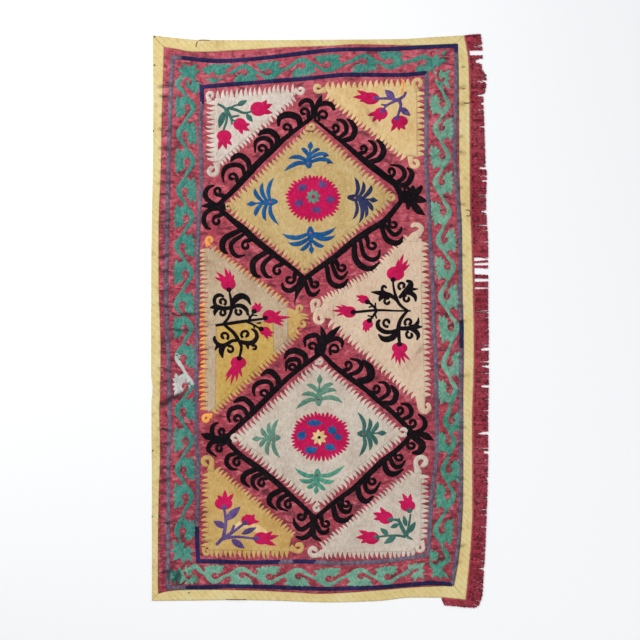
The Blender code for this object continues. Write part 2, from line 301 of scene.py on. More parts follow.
def isWall(vertices, block):
    # faces whose normal lies nearly level, by the cross product of two of their corners' lines
    corner = vertices[block]
    across = np.cross(corner[:, 2] - corner[:, 0], corner[:, -1] - corner[:, 1])
    return np.abs(across[:, 2]) < 0.35 * np.linalg.norm(across, axis=1)


def makeMesh(name, vertices, faceBlocks, marks=None, uv=None, flatWalls=False):
    # one mesh from whole arrays: faceBlocks holds an array of faces for each number of corners
    mesh = bpy.data.meshes.new(name)
    corners = np.concatenate([block.ravel() for block in faceBlocks]).astype(np.int32)
    sizes = np.concatenate([np.full(len(block), block.shape[1]) for block in faceBlocks])
    starts = np.concatenate([[0], sizes.cumsum()[:-1]]).astype(np.int32)
    mesh.vertices.add(len(vertices))
    mesh.loops.add(len(corners))
    mesh.polygons.add(len(sizes))
    mesh.vertices.foreach_set("co", np.asarray(vertices, np.float32).ravel())
    mesh.loops.foreach_set("vertex_index", corners)
    mesh.polygons.foreach_set("loop_start", starts)
    smooth = np.ones(len(sizes), bool)
    if flatWalls:
        smooth = ~np.concatenate([isWall(vertices, block) for block in faceBlocks])
    mesh.polygons.foreach_set("use_smooth", smooth)
    for mark, values in (marks or {}).items():
        mesh.attributes.new(mark, "FLOAT", "POINT").data.foreach_set("value", np.asarray(values, np.float32))
    if uv is not None:
        mesh.uv_layers.new(name="UVMap").data.foreach_set("uv", np.asarray(uv, np.float32)[corners].ravel())
    mesh.update(calc_edges=True)
    return mesh


def addPiece(name, mesh, material, nodes=()):
    piece = bpy.data.objects.new(name, mesh)
    bpy.context.scene.collection.objects.link(piece)
    mesh.materials.append(material)
    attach(piece, "root")
    if nodes:
        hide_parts(*nodes)
    return piece


def slab(points, below, above):
    # a closed sheet on a grid of places: z = below on its underside and above on its face, with four rims
    rows, columns = points.shape[:2]
    under = np.concatenate([points, below[..., None]], axis=-1).reshape(-1, 3)
    over = np.concatenate([points, above[..., None]], axis=-1).reshape(-1, 3)
    index = np.arange(rows * columns).reshape(rows, columns)
    quads = np.stack([index[:-1, :-1], index[:-1, 1:], index[1:, 1:], index[1:, :-1]], axis=-1).reshape(-1, 4)
    rim = np.concatenate([index[0, :-1], index[:-1, -1], index[-1, :0:-1], index[:0:-1, 0]])
    east = points[0, 1] - points[0, 0]
    north = points[1, 0] - points[0, 0]
    if east[0] * north[1] - east[1] * north[0] < 0:
        quads = quads[:, ::-1]
        rim = rim[::-1]
    after = np.roll(rim, -1)
    walls = np.stack([rim, after, after + len(under), rim + len(under)], axis=-1)
    return np.concatenate([under, over]), np.concatenate([quads + len(under), quads[:, ::-1], walls])


def marksOf(points, tone=0.0):
    # the marks that materials read at each vertex: how deep in a hollow it is, which they paint as shade, and
    # its own lightness
    hollow = sampleMap(hollowMap, points[..., :2]).ravel()
    return {"hollow": hollow, "tone": np.broadcast_to(tone, hollow.shape)}


satin = {"columns": 164, "rows": 300, "rimDrop": 0.9 * mm}


def clothPoints(columns, rows):
    # Coons patch: blend of the ends + blend of the sides - blend of the corners, drawn in by the seam gap
    u = np.linspace(0, 1, columns + 1)
    v = np.linspace(0, 1, rows + 1)
    bottom, top = edgeLine("inner_bottom", u), edgeLine("inner_top", u)
    left, right = edgeLine("inner_left", v), edgeLine("inner_right", v)
    uu = u[None, :, None]
    vv = v[:, None, None]
    ends = (1 - vv) * bottom[None] + vv * top[None]
    sides = (1 - uu) * left[:, None] + uu * right[:, None]
    corners = (1 - uu) * (1 - vv) * bottom[0] + uu * (1 - vv) * bottom[-1]
    corners = corners + (1 - uu) * vv * top[0] + uu * vv * top[-1]
    places = ends + sides - corners
    middle = places.mean(axis=(0, 1))
    size = np.ptp(places.reshape(-1, 2), axis=0)
    return middle + (places - middle) * (1 - 2 * clothCut["seamGap"] / size)


def makeSatin(material):
    # the face rolls down by rimDrop at the seam, over the outermost cell
    points = clothPoints(satin["columns"], satin["rows"])
    below = clothLift(points)
    roll = np.zeros(below.shape)
    roll[[0, -1], :] = satin["rimDrop"]
    roll[:, [0, -1]] = satin["rimDrop"]
    vertices, faces = slab(points, below, below + clothCut["clothThickness"] - roll)
    mesh = makeMesh("ground_satin", vertices, [faces], marksOf(vertices), uv=vertices[:, :2])
    return addPiece("ground_satin", mesh, material, ["ground_cloth"])


border = {"stations": {"left": 300, "right": 300, "top": 170, "bottom": 170}, "across": 12,
          "cut": {"left": (0.034, 2.26), "right": (0.04, 2.26),
                  "top": (1.25, 0.034), "bottom": (1.25, 0.038)},
          "mitreGap": 0.05 * mm, "seamDip": 1.0 * mm, "hemWidth": 0.2, "hemRise": 0.7 * mm,
          "cockle": 0.5 * mm}


def borderPoints(side, count):
    # ruled from the seam line to the free edge: point = seam (1 - share) + free share, with mitred ends
    along = np.linspace(0, 1, count + 1)
    seam = edgeLine("inner_" + side, along, border["mitreGap"])
    free = edgeLine("outer_" + side, along, border["mitreGap"])
    share = np.linspace(0, 1, border["across"] + 1)[None, :, None]
    return seam[:, None] * (1 - share) + free[:, None] * share


def makeBorder(side, count, material):
    # face = thickness - dip at the seam + a doubled hem at the free edge + cockles along the strip
    points = borderPoints(side, count)
    share = np.linspace(0, 1, border["across"] + 1)[None, :]
    run = np.linspace(0, 1, count + 1)[:, None] * count * 7.5
    below = clothLift(points)
    dip = border["seamDip"] * (1 - softStep(0.0, 0.14, share))
    edge = 1 - border["hemWidth"]
    hem = border["hemRise"] * softStep(edge - 0.05, edge, share) - 1.3 * mm * softStep(0.95, 1.0, share) ** 2
    cockle = np.sin(run / 9.0 + 2 * np.sin(run / 57)) * np.sin(run / 31 + 4 * share)
    cockle = border["cockle"] * (0.5 + 0.5 * cockle)
    above = below + clothCut["borderThickness"] - dip + hem + cockle * (1 - softStep(0.9, 1.0, share))
    vertices, faces = slab(points, below, above)
    edgeShare = np.broadcast_to(share, points.shape[:2]).ravel()
    uv = np.stack([np.broadcast_to(run * mm, points.shape[:2]).ravel(), edgeShare], axis=-1)
    marks = marksOf(vertices)
    marks["edge"] = np.concatenate([edgeShare, edgeShare])
    mesh = makeMesh("border_strip_" + side, vertices, [faces], marks, uv=np.concatenate([uv, uv]))
    return addPiece("border_strip_" + side, mesh, material, ["border_" + side])


def addNode(tree, kind, sockets=None, **settings):
    # a node with its settings; a socket is linked where its value is another socket, and set otherwise
    node = tree.nodes.new(kind)
    for key, value in settings.items():
        setattr(node, key, value)
    for key, value in (sockets or {}).items():
        if isinstance(value, bpy.types.NodeSocket):
            tree.links.new(value, node.inputs[key])
        else:
            node.inputs[key].default_value = value
    return node


def calc(tree, operation, first, second=0.0, third=0.0):
    return addNode(tree, "ShaderNodeMath", {0: first, 1: second, 2: third}, operation=operation).outputs[0]


def times(tree, first, second):
    return calc(tree, "MULTIPLY", first, second)


def plus(tree, first, second):
    return calc(tree, "ADD", first, second)


def blendColours(tree, share, first, second, blend="MIX"):
    # first (1 - share) + second share
    node = addNode(tree, "ShaderNodeMix", {0: share, 6: first, 7: second}, data_type="RGBA", blend_type=blend)
    return node.outputs[2]


def spread(tree, value, low, high, first=0.0, second=1.0):
    # value from low to high becomes first to second, held at the ends
    sockets = {"Value": value, "From Min": low, "From Max": high, "To Min": first, "To Max": second}
    return addNode(tree, "ShaderNodeMapRange", sockets).outputs["Result"]


def ownPlace(tree):
    return addNode(tree, "ShaderNodeTexCoord").outputs["Object"]


def readMark(tree, name):
    return addNode(tree, "ShaderNodeAttribute", attribute_name=name).outputs["Fac"]


def newGroup(name, inputs, outputs):
    group = bpy.data.node_groups.new(name, "ShaderNodeTree")
    for socketName, kind, value in inputs:
        group.interface.new_socket(name=socketName, in_out="INPUT", socket_type=kind).default_value = value
    for socketName, kind in outputs:
        group.interface.new_socket(name=socketName, in_out="OUTPUT", socket_type=kind)
    return group, group.nodes.new("NodeGroupInput").outputs, group.nodes.new("NodeGroupOutput").inputs


def noise(tree, place, detail=2.0, roughness=0.5, distortion=0.0):
    sockets = {"Vector": place, "Scale": 1.0, "Detail": detail, "Roughness": roughness,
               "Distortion": distortion}
    return addNode(tree, "ShaderNodeTexNoise", sockets).outputs["Fac"]


def mappedNoise(tree, scale, turn=0.0, detail=2.0, roughness=0.5):
    # noise on the piece's own place, turned about Z and then stretched by a scale for each axis
    turned = addNode(tree, "ShaderNodeMapping", {"Vector": ownPlace(tree), "Rotation": (0, 0, turn)})
    stretched = addNode(tree, "ShaderNodeMapping", {"Vector": turned.outputs[0], "Scale": scale})
    return noise(tree, stretched.outputs[0], detail, roughness)


def bands(tree, place, direction, scale, distortion):
    # rows of light and dark, 1 to 0 and back, along an axis or on a slant
    sockets = {"Vector": place, "Scale": scale, "Distortion": distortion}
    wave = addNode(tree, "ShaderNodeTexWave", sockets, wave_type="BANDS", bands_direction=direction)
    return wave.outputs["Fac"]


def makeThreadGroup():
    # laid threads run along Y, couched by slanting stitches; each thread takes the dye a little its own way
    group, given, made = newGroup("laidThreads", [("Couching", "NodeSocketFloat", 0.5)],
                                  [("Height", "NodeSocketFloat"), ("Tone", "NodeSocketFloat")])
    threads = mappedNoise(group, (620, 34, 34))
    strands = times(group, mappedNoise(group, (190, 32, 46), detail=3.0), 0.6)
    couching = mappedNoise(group, (60, 420, 60), turn=math.radians(28))
    height = calc(group, "MULTIPLY_ADD", couching, given["Couching"], threads)
    group.links.new(plus(group, height, strands), made["Height"])
    group.links.new(plus(group, times(group, threads, 0.4), strands), made["Tone"])
    return group


def makeWearAndShadeGroup():
    # old dye and painted shade: clouds of paler and deeper colour, rubbed spots, and painted shade that
    # darkens the hollows
    group, given, made = newGroup("oldDyeAndShade", [
        ("Dye", "NodeSocketColor", (0.5, 0.5, 0.5, 1)), ("Deep", "NodeSocketColor", (0.2, 0.2, 0.2, 1)),
        ("Pale", "NodeSocketColor", (0.8, 0.8, 0.8, 1)), ("Shadow", "NodeSocketColor", (0.05, 0.03, 0.03, 1)),
        ("Cloud", "NodeSocketFloat", 0.5), ("Fleck", "NodeSocketFloat", 0.5),
        ("Tone", "NodeSocketFloat", 0.5),
    ], [("Color", "NodeSocketColor"), ("Wear", "NodeSocketFloat")])
    cloud = spread(group, mappedNoise(group, (9, 7, 9), detail=3.0), 0.3, 0.7)
    fleck = spread(group, mappedNoise(group, (210, 120, 120), detail=4.0, roughness=0.65), 0.32, 0.68)
    coarse = spread(group, mappedNoise(group, (70, 52, 60), detail=3.0), 0.3, 0.7)
    mottle = plus(group, times(group, fleck, 0.6), times(group, coarse, 0.4))
    colour = given["Dye"]
    for source, strength, reach in ((cloud, given["Cloud"], 0.5), (mottle, given["Fleck"], 0.4)):
        for end, shade in ((0.5 - reach, given["Deep"]), (0.5 + reach, given["Pale"])):
            share = times(group, spread(group, source, 0.5, end), strength)
            colour = blendColours(group, share, colour, shade)
    lightness = plus(group, times(group, given["Tone"], 0.56), 0.72)
    lightness = times(group, lightness, plus(group, readMark(group, "tone"), 1.0))
    grey = addNode(group, "ShaderNodeCombineColor", {0: lightness, 1: lightness, 2: lightness}).outputs[0]
    colour = blendColours(group, 1.0, colour, grey, "MULTIPLY")
    # painted shade: the colour is darkened towards the Shadow colour where a vertex lies in a hollow
    paintedHollowShade = spread(group, readMark(group, "hollow"), 0.0, 0.6, 0.0, 0.86)
    group.links.new(blendColours(group, paintedHollowShade, colour, given["Shadow"]), made["Color"])
    group.links.new(mottle, made["Wear"])
    return group


threadGroup = makeThreadGroup()
wearAndShadeGroup = makeWearAndShadeGroup()


def newMaterial(name):
    material = bpy.data.materials.new(name)
    material.use_nodes = True
    return material, material.node_tree, material.node_tree.nodes["Principled BSDF"].inputs


def wornDyeAndShade(tree, look, **sockets):
    # oldDyeAndShade with the look's shades, and its other sockets as given; its colour holds painted shade in
    # the hollows
    shades = {name.title(): dye(*look[name]) for name in ("dye", "deep", "pale", "shadow") if name in look}
    return addNode(tree, "ShaderNodeGroup", {**shades, **sockets}, node_tree=wearAndShadeGroup).outputs


def finish(tree, inputs, colour, height, wear, look):
    # every cloth ends alike: its colour, a bump from its height, and a roughness that follows its wear
    sockets = {"Strength": look["bump"], "Distance": look["depth"], "Height": height}
    bump = addNode(tree, "ShaderNodeBump", sockets)
    tree.links.new(colour, inputs["Base Color"])
    tree.links.new(bump.outputs[0], inputs["Normal"])
    tree.links.new(spread(tree, wear, 0.0, 1.0, *look["rough"]), inputs["Roughness"])
    inputs["Specular IOR Level"].default_value = look["specular"]
    inputs["Sheen Weight"].default_value = look["sheen"]


# What each thread looks like by daylight: its dye, the deeper and paler shades it varies to, and its shadow.
silk = {"cloud": 0.4, "fleck": 0.6, "bump": 0.5, "depth": 0.0006, "rough": (0.54, 0.74), "specular": 0.25,
        "sheen": 0.05}
threadLooks = {
    "black": ((17, 14, 17), (7, 6, 9), (50, 32, 38), (4, 3, 4)),
    "cream": ((208, 194, 180), (178, 150, 136), (226, 216, 206), (120, 84, 74)),
    "oat": ((200, 186, 169), (168, 144, 128), (220, 209, 194), (110, 78, 68)),
    "yellow": ((221, 187, 128), (192, 150, 90), (226, 204, 160), (120, 70, 34)),
    "honey": ((196, 166, 108), (168, 130, 72), (212, 190, 144), (104, 62, 32)),
    "straw": ((206, 178, 122), (184, 144, 90), (224, 204, 160), (120, 74, 40)),
    "gold": ((196, 158, 78), (166, 122, 48), (212, 182, 112), (100, 56, 22)),
    "beige": ((216, 188, 160), (180, 144, 116), (220, 200, 176), (112, 74, 58)),
    "flax": ((188, 163, 132), (160, 130, 100), (206, 186, 158), (100, 66, 50)),
    "magenta": ((192, 6, 76), (150, 6, 56), (212, 34, 100), (84, 4, 30)),
    "navy": ((28, 25, 70), (15, 14, 44), (62, 54, 108), (10, 8, 24)),
    "greyViolet": ((96, 84, 104), (64, 52, 72), (142, 130, 142), (40, 24, 36)),
    "teal": ((56, 132, 117), (18, 92, 84), (106, 160, 142), (6, 36, 34)),
    "sage": ((86, 132, 112), (46, 98, 82), (130, 164, 142), (24, 44, 38)),
    "deepTeal": ((44, 96, 88), (22, 66, 62), (86, 130, 116), (10, 30, 28)),
    "paleGreen": ((106, 158, 134), (62, 124, 102), (148, 186, 160), (30, 62, 50)),
    "seaGreen": ((66, 142, 118), (30, 100, 84), (118, 170, 144), (14, 48, 40)),
    "blue": ((16, 82, 136), (10, 52, 100), (48, 112, 160), (6, 24, 48)),
    "inkBlue": ((30, 38, 72), (18, 20, 50), (66, 72, 118), (10, 10, 28)),
    "violet": ((82, 56, 116), (50, 30, 80), (124, 96, 150), (22, 10, 34)),
    "orange": ((236, 160, 66), (208, 122, 44), (244, 190, 110), (122, 58, 22)),
    "brown": ((92, 66, 50), (60, 40, 30), (130, 100, 78), (30, 18, 12)),
    "ochre": ((198, 160, 92), (172, 128, 60), (212, 182, 124), (100, 58, 26)),
    "silver": ((196, 196, 190), (142, 142, 142), (206, 206, 200), (60, 46, 54)),
}
# Threads that differ from the others in more than colour.
threadTraits = {
    "black": {"cloud": 0.2, "rough": (0.72, 0.92), "specular": 0.06, "sheen": 0.0},
    "navy": {"fleck": 0.7, "specular": 0.12}, "greyViolet": {"fleck": 0.8}, "teal": {"fleck": 0.75},
    "paleGreen": {"fleck": 0.75}, "seaGreen": {"fleck": 0.75},
    "magenta": {"specular": 0.12}, "blue": {"specular": 0.12}, "inkBlue": {"specular": 0.12},
}


def threadMaterial(thread):
    # silk on its dye: colour from oldDyeAndShade, with painted shade in the hollows, and the laid threads
    # lift the light as a bump
    shades = dict(zip(("dye", "deep", "pale", "shadow"), threadLooks[thread]))
    look = {**silk, **shades, **threadTraits.get(thread, {})}
    material, tree, inputs = newMaterial(thread + " silk")
    threads = addNode(tree, "ShaderNodeGroup", {"Couching": 0.5}, node_tree=threadGroup).outputs
    wornAndShaded = wornDyeAndShade(tree, look, Cloud=look["cloud"], Fleck=look["fleck"], Tone=threads["Tone"])
    finish(tree, inputs, wornAndShaded["Color"], threads["Height"], wornAndShaded["Wear"], look)
    return material


def satinMaterial():
    # satin that fades from rose at the top to deep crimson at the foot, with drawn-in gathers down its sides,
    # painted shade in its creases and wrinkles, and painted highlights on the wrinkles' crests
    look = {"rose": (180, 70, 84), "middle": (166, 48, 66), "foot": (147, 37, 53), "deep": (146, 34, 60),
            "pale": (208, 102, 116), "shadow": (58, 6, 22), "crestHighlight": (224, 130, 140),
            "bump": 0.75, "depth": 0.003,
            "rough": (0.42, 0.62), "specular": 0.3, "sheen": 0.08}
    material, tree, inputs = newMaterial("crimson satin")
    axes = addNode(tree, "ShaderNodeSeparateXYZ", {0: ownPlace(tree)}).outputs
    colour = blendColours(tree, spread(tree, axes["Y"], -1.1, 0.1), dye(*look["foot"]), dye(*look["middle"]))
    colour = blendColours(tree, spread(tree, axes["Y"], 0.1, 1.1), colour, dye(*look["rose"]))
    # gathers are level streaks of noise, strong only from 0.42 m off the cloth's middle line at x = -0.042;
    # their creases get painted shade
    outer = spread(tree, calc(tree, "ABSOLUTE", plus(tree, axes["X"], 0.042)), 0.42, 0.50)
    gather = mappedNoise(tree, (15, 52, 30), detail=3.0, roughness=0.55)
    creaseShade = times(tree, spread(tree, gather, 0.47, 0.30), plus(tree, times(tree, outer, 0.75), 0.16))
    weave = mappedNoise(tree, (90, 900, 90))
    wornAndShaded = wornDyeAndShade(tree, look, Dye=colour, Cloud=0.35, Fleck=0.55, Tone=weave)
    # wrinkles: noise that is stretched before it is turned, so that its streaks cross the cloth at a slant;
    # painted shade darkens their troughs and a painted highlight lightens their crests
    slanted = {"Vector": ownPlace(tree), "Rotation": (0, 0, 0.5), "Scale": (26, 48, 30)}
    wrinkle = noise(tree, addNode(tree, "ShaderNodeMapping", slanted).outputs[0], 3.0, 0.55, 1.2)
    shaded = blendColours(tree, creaseShade, wornAndShaded["Color"], dye(*look["shadow"]))
    shaded = blendColours(tree, spread(tree, wrinkle, 0.47, 0.33, 0.0, 0.7), shaded, dye(*look["shadow"]))
    shaded = blendColours(tree, spread(tree, wrinkle, 0.54, 0.68, 0.0, 0.52), shaded, dye(*look["crestHighlight"]))
    gathered = times(tree, gather, plus(tree, times(tree, outer, 3.0), 0.8))
    height = plus(tree, times(tree, weave, 0.15), gathered)
    finish(tree, inputs, shaded, calc(tree, "MULTIPLY_ADD", wrinkle, 2.4, height), wornAndShaded["Wear"], look)
    return material


def borderMaterial():
    # plain cotton: a square weave, slanting rows of quilting stitches, stains and a soiled free edge, with
    # painted shade in the stitch rows and along the seam
    look = {"dye": (244, 220, 153), "deep": (220, 190, 118), "pale": (250, 236, 184), "shadow": (120, 88, 48),
            "soil": (128, 92, 66), "stain": (184, 142, 84),
            "bump": 0.4, "depth": 0.0008, "rough": (0.78, 0.92),
            "specular": 0.15, "sheen": 0.0}
    material, tree, inputs = newMaterial("straw cotton")
    place = ownPlace(tree)
    weave = times(tree, bands(tree, place, "X", 260.0, 1.5), bands(tree, place, "Y", 260.0, 1.5))
    rows = spread(tree, bands(tree, place, "DIAGONAL", 24.0, 1.2), 0.12, 0.0)
    wornAndShaded = wornDyeAndShade(tree, look, Cloud=0.5, Fleck=0.5, Tone=weave)
    stain = spread(tree, mappedNoise(tree, (16, 13, 16), detail=4.0, roughness=0.6), 0.60, 0.74, 0.0, 0.55)
    edge = readMark(tree, "edge")
    specks = spread(tree, mappedNoise(tree, (120, 90, 90), detail=3.0, roughness=0.7), 0.52, 0.64)
    soiled = times(tree, spread(tree, edge, 0.86, 1.0), plus(tree, times(tree, specks, 0.6), 0.12))
    colour = wornAndShaded["Color"]
    # painted shade: the quilting rows and a band along the seam are darkened towards the shadow colour
    for share, shade in ((stain, "stain"), (times(tree, rows, 0.15), "shadow"), (soiled, "soil"),
                         (spread(tree, edge, 0.10, 0.0, 0.0, 0.28), "shadow")):
        colour = blendColours(tree, share, colour, dye(*look[shade]))
    finish(tree, inputs, colour, plus(tree, weave, times(tree, rows, -1.5)), wornAndShaded["Wear"], look)
    return material


def yarnMaterial():
    # crimped rayon yarn: painted shade makes it near black where it is packed at the roots, and leaves it
    # paler on the crests
    look = {"dye": (184, 62, 80), "deep": (128, 28, 48), "pale": (214, 104, 118), "shadow": (48, 8, 20),
            "bump": 0.5, "depth": 0.0004, "rough": (0.55, 0.75), "specular": 0.2, "sheen": 0.0}
    material, tree, inputs = newMaterial("crimson yarn")
    wornAndShaded = wornDyeAndShade(tree, look, Cloud=0.4, Fleck=0.5, Tone=0.5)
    colour = blendColours(tree, readMark(tree, "packedShade"), wornAndShaded["Color"], dye(*look["shadow"]))
    twist = bands(tree, addNode(tree, "ShaderNodeTexCoord").outputs["UV"], "DIAGONAL", 160.0, 0.6)
    finish(tree, inputs, colour, twist, wornAndShaded["Wear"], look)
    return material


print("suzani: dyes mixed")


# Rows of the fringe's lie: distance from the top end and length beyond the heading, in millimetres, and
# degrees from +X.
fringe = {
    "headingWidth": 7.0 * mm, "headingHeight": 3.4 * mm, "cornerRun": 40.0 * mm, "bottomRun": 97.0 * mm,
    "yarns": 2560, "yarnRadius": 1.7 * mm, "stations": 13, "crimp": 1.0 * mm, "crimpPitch": 15.5 * mm,
    "lockPitch": 9.4 * mm, "pile": 2.6 * mm, "seed": 5,
    "lie": [
        (0, 61, 4), (34, 59, 1), (138, 46, 0), (166, 64, 0), (210, 59, 0), (258, 49, 0), (400, 53, 0),
        (522, 57, 0), (558, 61, 0), (678, 57, 0), (818, 59, 0), (1058, 54, 0), (1238, 53, 0), (1458, 57, 0),
        (1618, 58, 0), (1778, 56, 0), (1938, 51, -2), (2098, 54, -6), (2158, 56, -12), (2218, 60, -19),
        (2256, 53, -25), (2276, 43, -39), (2296, 31, -55), (2394, 28, -66),
    ],
    # where yarn is lost or worn short: distance, width in millimetres, share of the length left
    "gaps": [
        (46, 14, 0.4), (72, 20, 0.0), (106, 22, 0.45), (184, 15, 0.4), (242, 16, 0.5), (274, 10, 0.8),
        (532, 14, 0.5), (582, 10, 0.7), (640, 12, 0.45), (706, 14, 0.55), (897, 16, 0.0), (917, 10, 0.0),
        (945, 28, 0.0), (981, 15, 0.0), (1012, 8, 0.0), (1257, 12, 0.4), (1324, 12, 0.5), (1405, 13, 0.45),
        (1594, 13, 0.3), (1668, 16, 0.7), (1777, 14, 0.85), (2127, 14, 0.65),
    ],
    "lostBelow": 8.0 * mm,  # a yarn that would be shorter than this is lost
    # clumps in painted shade: how many lie along a yarn, their slant, which share of them is in light, how
    # deep the painted shade is
    "clumps": 7, "clumpSlant": 7.0 * mm, "clumpLight": 0.76, "clumpShade": 0.5,
}


def fringeRoots(distances):
    # down the right edge, round the corner on the spot and back along the bottom: places, directions outward
    places, outwards = [], []
    for name in ("outer_right", "outer_bottom"):
        line = edgeLine(name, np.linspace(1, 0, 301), clothCut["seamGap"])
        run = np.concatenate([[0], np.linalg.norm(np.diff(line, axis=0), axis=1).cumsum()])
        begin = 0.0 if name == "outer_right" else places[0][1] + fringe["cornerRun"]
        at = np.clip(distances - begin, 0, run[-1])
        heading = unit(np.gradient(line, run, axis=0))
        place = np.stack([np.interp(at, run, line[:, k]) for k in (0, 1)], axis=-1)
        turn = np.arctan2(np.interp(at, run, heading[:, 0]), -np.interp(at, run, heading[:, 1]))
        places.append((place, run[-1]))
        outwards.append(turn)
    sideRun = places[0][1]
    corner = np.clip((distances - sideRun) / fringe["cornerRun"], 0, 1)
    place = np.where((distances <= sideRun + fringe["cornerRun"])[:, None], places[0][0], places[1][0])
    angle = np.where(corner < 1, outwards[0] + (outwards[1] - outwards[0]) * corner, outwards[1])
    return place, np.stack([np.cos(angle), np.sin(angle)], axis=-1), sideRun


def yarnLength(distances):
    # the smooth line through the lie's lengths, times the share left where yarn is worn or lost: a worn notch
    # runs from its share at the middle up to the whole at its ends, and lost yarn leaves nothing
    length = smoothLine([(at, long) for at, long, _ in fringe["lie"]], distances / mm) * mm
    for middle, width, share in fringe["gaps"]:
        aside = np.abs(distances / mm - middle) / (width / 2)
        left = share + (1 - share) * aside**3 if share > 0.25 else share
        length = length * np.where(aside < 1, left, 1.0)
    return length


def ringFaces(count, stations, sides):
    # quads between the rings of corners along each of many lines, and a cap at both its ends
    index = np.arange(count * stations * sides).reshape(count, stations, sides)
    nextSide = np.roll(index, -1, axis=2)
    quads = np.stack([index[:, :-1], nextSide[:, :-1], nextSide[:, 1:], index[:, 1:]], axis=-1).reshape(-1, 4)
    return [quads, np.concatenate([index[:, 0, ::-1], index[:, -1]])]


def tubes(paths, radii, sides):
    # a ring of corners about each station: p + r (cos a side + sin a up); paths (n, m, 3), radii (n, m)
    heading = np.gradient(paths, axis=1)
    side = unit(np.stack([-heading[..., 1], heading[..., 0], np.zeros(heading.shape[:2])], axis=-1))
    angle = np.arange(sides) * 2 * math.pi / sides + math.pi / 2
    ring = np.cos(angle)[:, None] * side[:, :, None] + np.sin(angle)[:, None] * np.array([0, 0, 1.0])
    vertices = paths[:, :, None] + ring * radii[:, :, None, None]
    return vertices.reshape(-1, 3), ringFaces(*paths.shape[:2], sides)


def fringeLength():
    # down the side, round the corner on the spot and along the bottom
    return fringeRoots(np.zeros(1))[2] + fringe["cornerRun"] + fringe["bottomRun"]


def makeYarns(material):
    # a yarn is a crimped line: root + direction L t + sideways crimp sin; its height falls to the floor
    rng = np.random.default_rng(fringe["seed"])
    count = fringe["yarns"]
    stations = fringe["stations"]
    total = fringeLength()
    distances = (np.arange(count) + 0.5 + rng.uniform(-0.4, 0.4, count)) * total / count
    place, outward, _ = fringeRoots(distances)
    length = yarnLength(distances) * rng.uniform(0.96, 1.02, count)
    length = length * np.where(rng.random(count) < 0.02, 0.85, 1.0)
    lock = np.floor(distances / fringe["lockPitch"])
    lockMiddle = (lock + 0.5) * fringe["lockPitch"]
    lean = smoothLine([(at, turn) for at, _, turn in fringe["lie"]], distances / mm)
    lean = lean + 2.2 * np.sin(2.7 * lock) + 1.4 * np.sin(5.1 * lock + 1) + rng.normal(0, 1.4, count)
    lean = np.radians(lean + np.where(rng.random(count) < 0.03, rng.uniform(-24, 24, count), 0.0))
    kept = length > fringe["lostBelow"]
    t = np.linspace(0, 1, stations)[None, :]
    along = np.stack([np.cos(lean), np.sin(lean)], axis=-1)[:, None]
    sideways = np.stack([-along[..., 1], along[..., 0]], axis=-1)
    phase = (1.3 * np.sin(1.9 * lock) + rng.normal(0, 1.1, count))[:, None]
    wave = 2 * math.pi * t * length[:, None] / fringe["crimpPitch"] + phase
    crimp = fringe["crimp"] * rng.uniform(0.6, 1.3, (count, 1)) * np.minimum(1, 4 * t)
    gather = (lockMiddle - distances)[:, None] * 0.05 * t
    stray = rng.normal(0, 0.9 * mm, (count, 1)) * t**2
    across = crimp * np.sin(wave) - gather + stray
    root = place + outward * (fringe["headingWidth"] - 1.5 * mm)
    flat = root[:, None] + along * (length[:, None] * t)[..., None] + sideways * across[..., None]
    layer = rng.random((count, 1))
    height = fringe["pile"] * layer * (1 - 0.75 * t**1.5) * (0.55 + 0.45 * np.cos(wave))
    height = fringe["yarnRadius"] + height
    paths = np.concatenate([flat, height[..., None]], axis=-1)[kept]
    radii = fringe["yarnRadius"] * (1.05 - 0.1 * t**3) * rng.uniform(0.75, 1.15, (count, 1))
    vertices, faces = tubes(paths, radii[kept], 3)
    crossingShade = 1.1 * rng.random((count, 1)) ** 1.4 * (np.cos(wave) < -0.2)
    # clumps are cells a lock wide, on a slant, each wholly in light or in painted shade
    clumps = rng.random((int(total / fringe["lockPitch"]) + 3, fringe["clumps"]))
    row = ((distances[:, None] + fringe["clumpSlant"] * t) / fringe["lockPitch"]).astype(int)
    clump = clumps[row, np.minimum(t * fringe["clumps"], fringe["clumps"] - 1).astype(int)]
    # painted shade: darker for the lower layers, at the roots, where a yarn dips under a crossing, and in the
    # shaded clumps
    packedShade = 0.5 * (1 - layer) ** 2 + 0.3 * np.exp(-t * 9) - 0.14 + 0.7 * crossingShade
    packedShade = np.clip(packedShade + fringe["clumpShade"] * (clump > fringe["clumpLight"]), 0, 0.88)
    run = np.broadcast_to(length[:, None] * t, (count, stations))[kept]
    uv = np.stack([np.repeat(run.ravel(), 3), np.tile(np.arange(3) / 3 * 0.006, run.size)], axis=-1)
    tone = 0.1 * np.sin(1.7 * lock) + rng.uniform(-0.24, 0.24, count)
    marks = {"packedShade": np.repeat(packedShade[kept].ravel(), 3), "tone": np.repeat(tone[kept], 3 * stations)}
    mesh = makeMesh("fringe_yarns", vertices, faces, marks, uv=uv)
    return addPiece("fringe_yarns", mesh, material, ["fringe"])


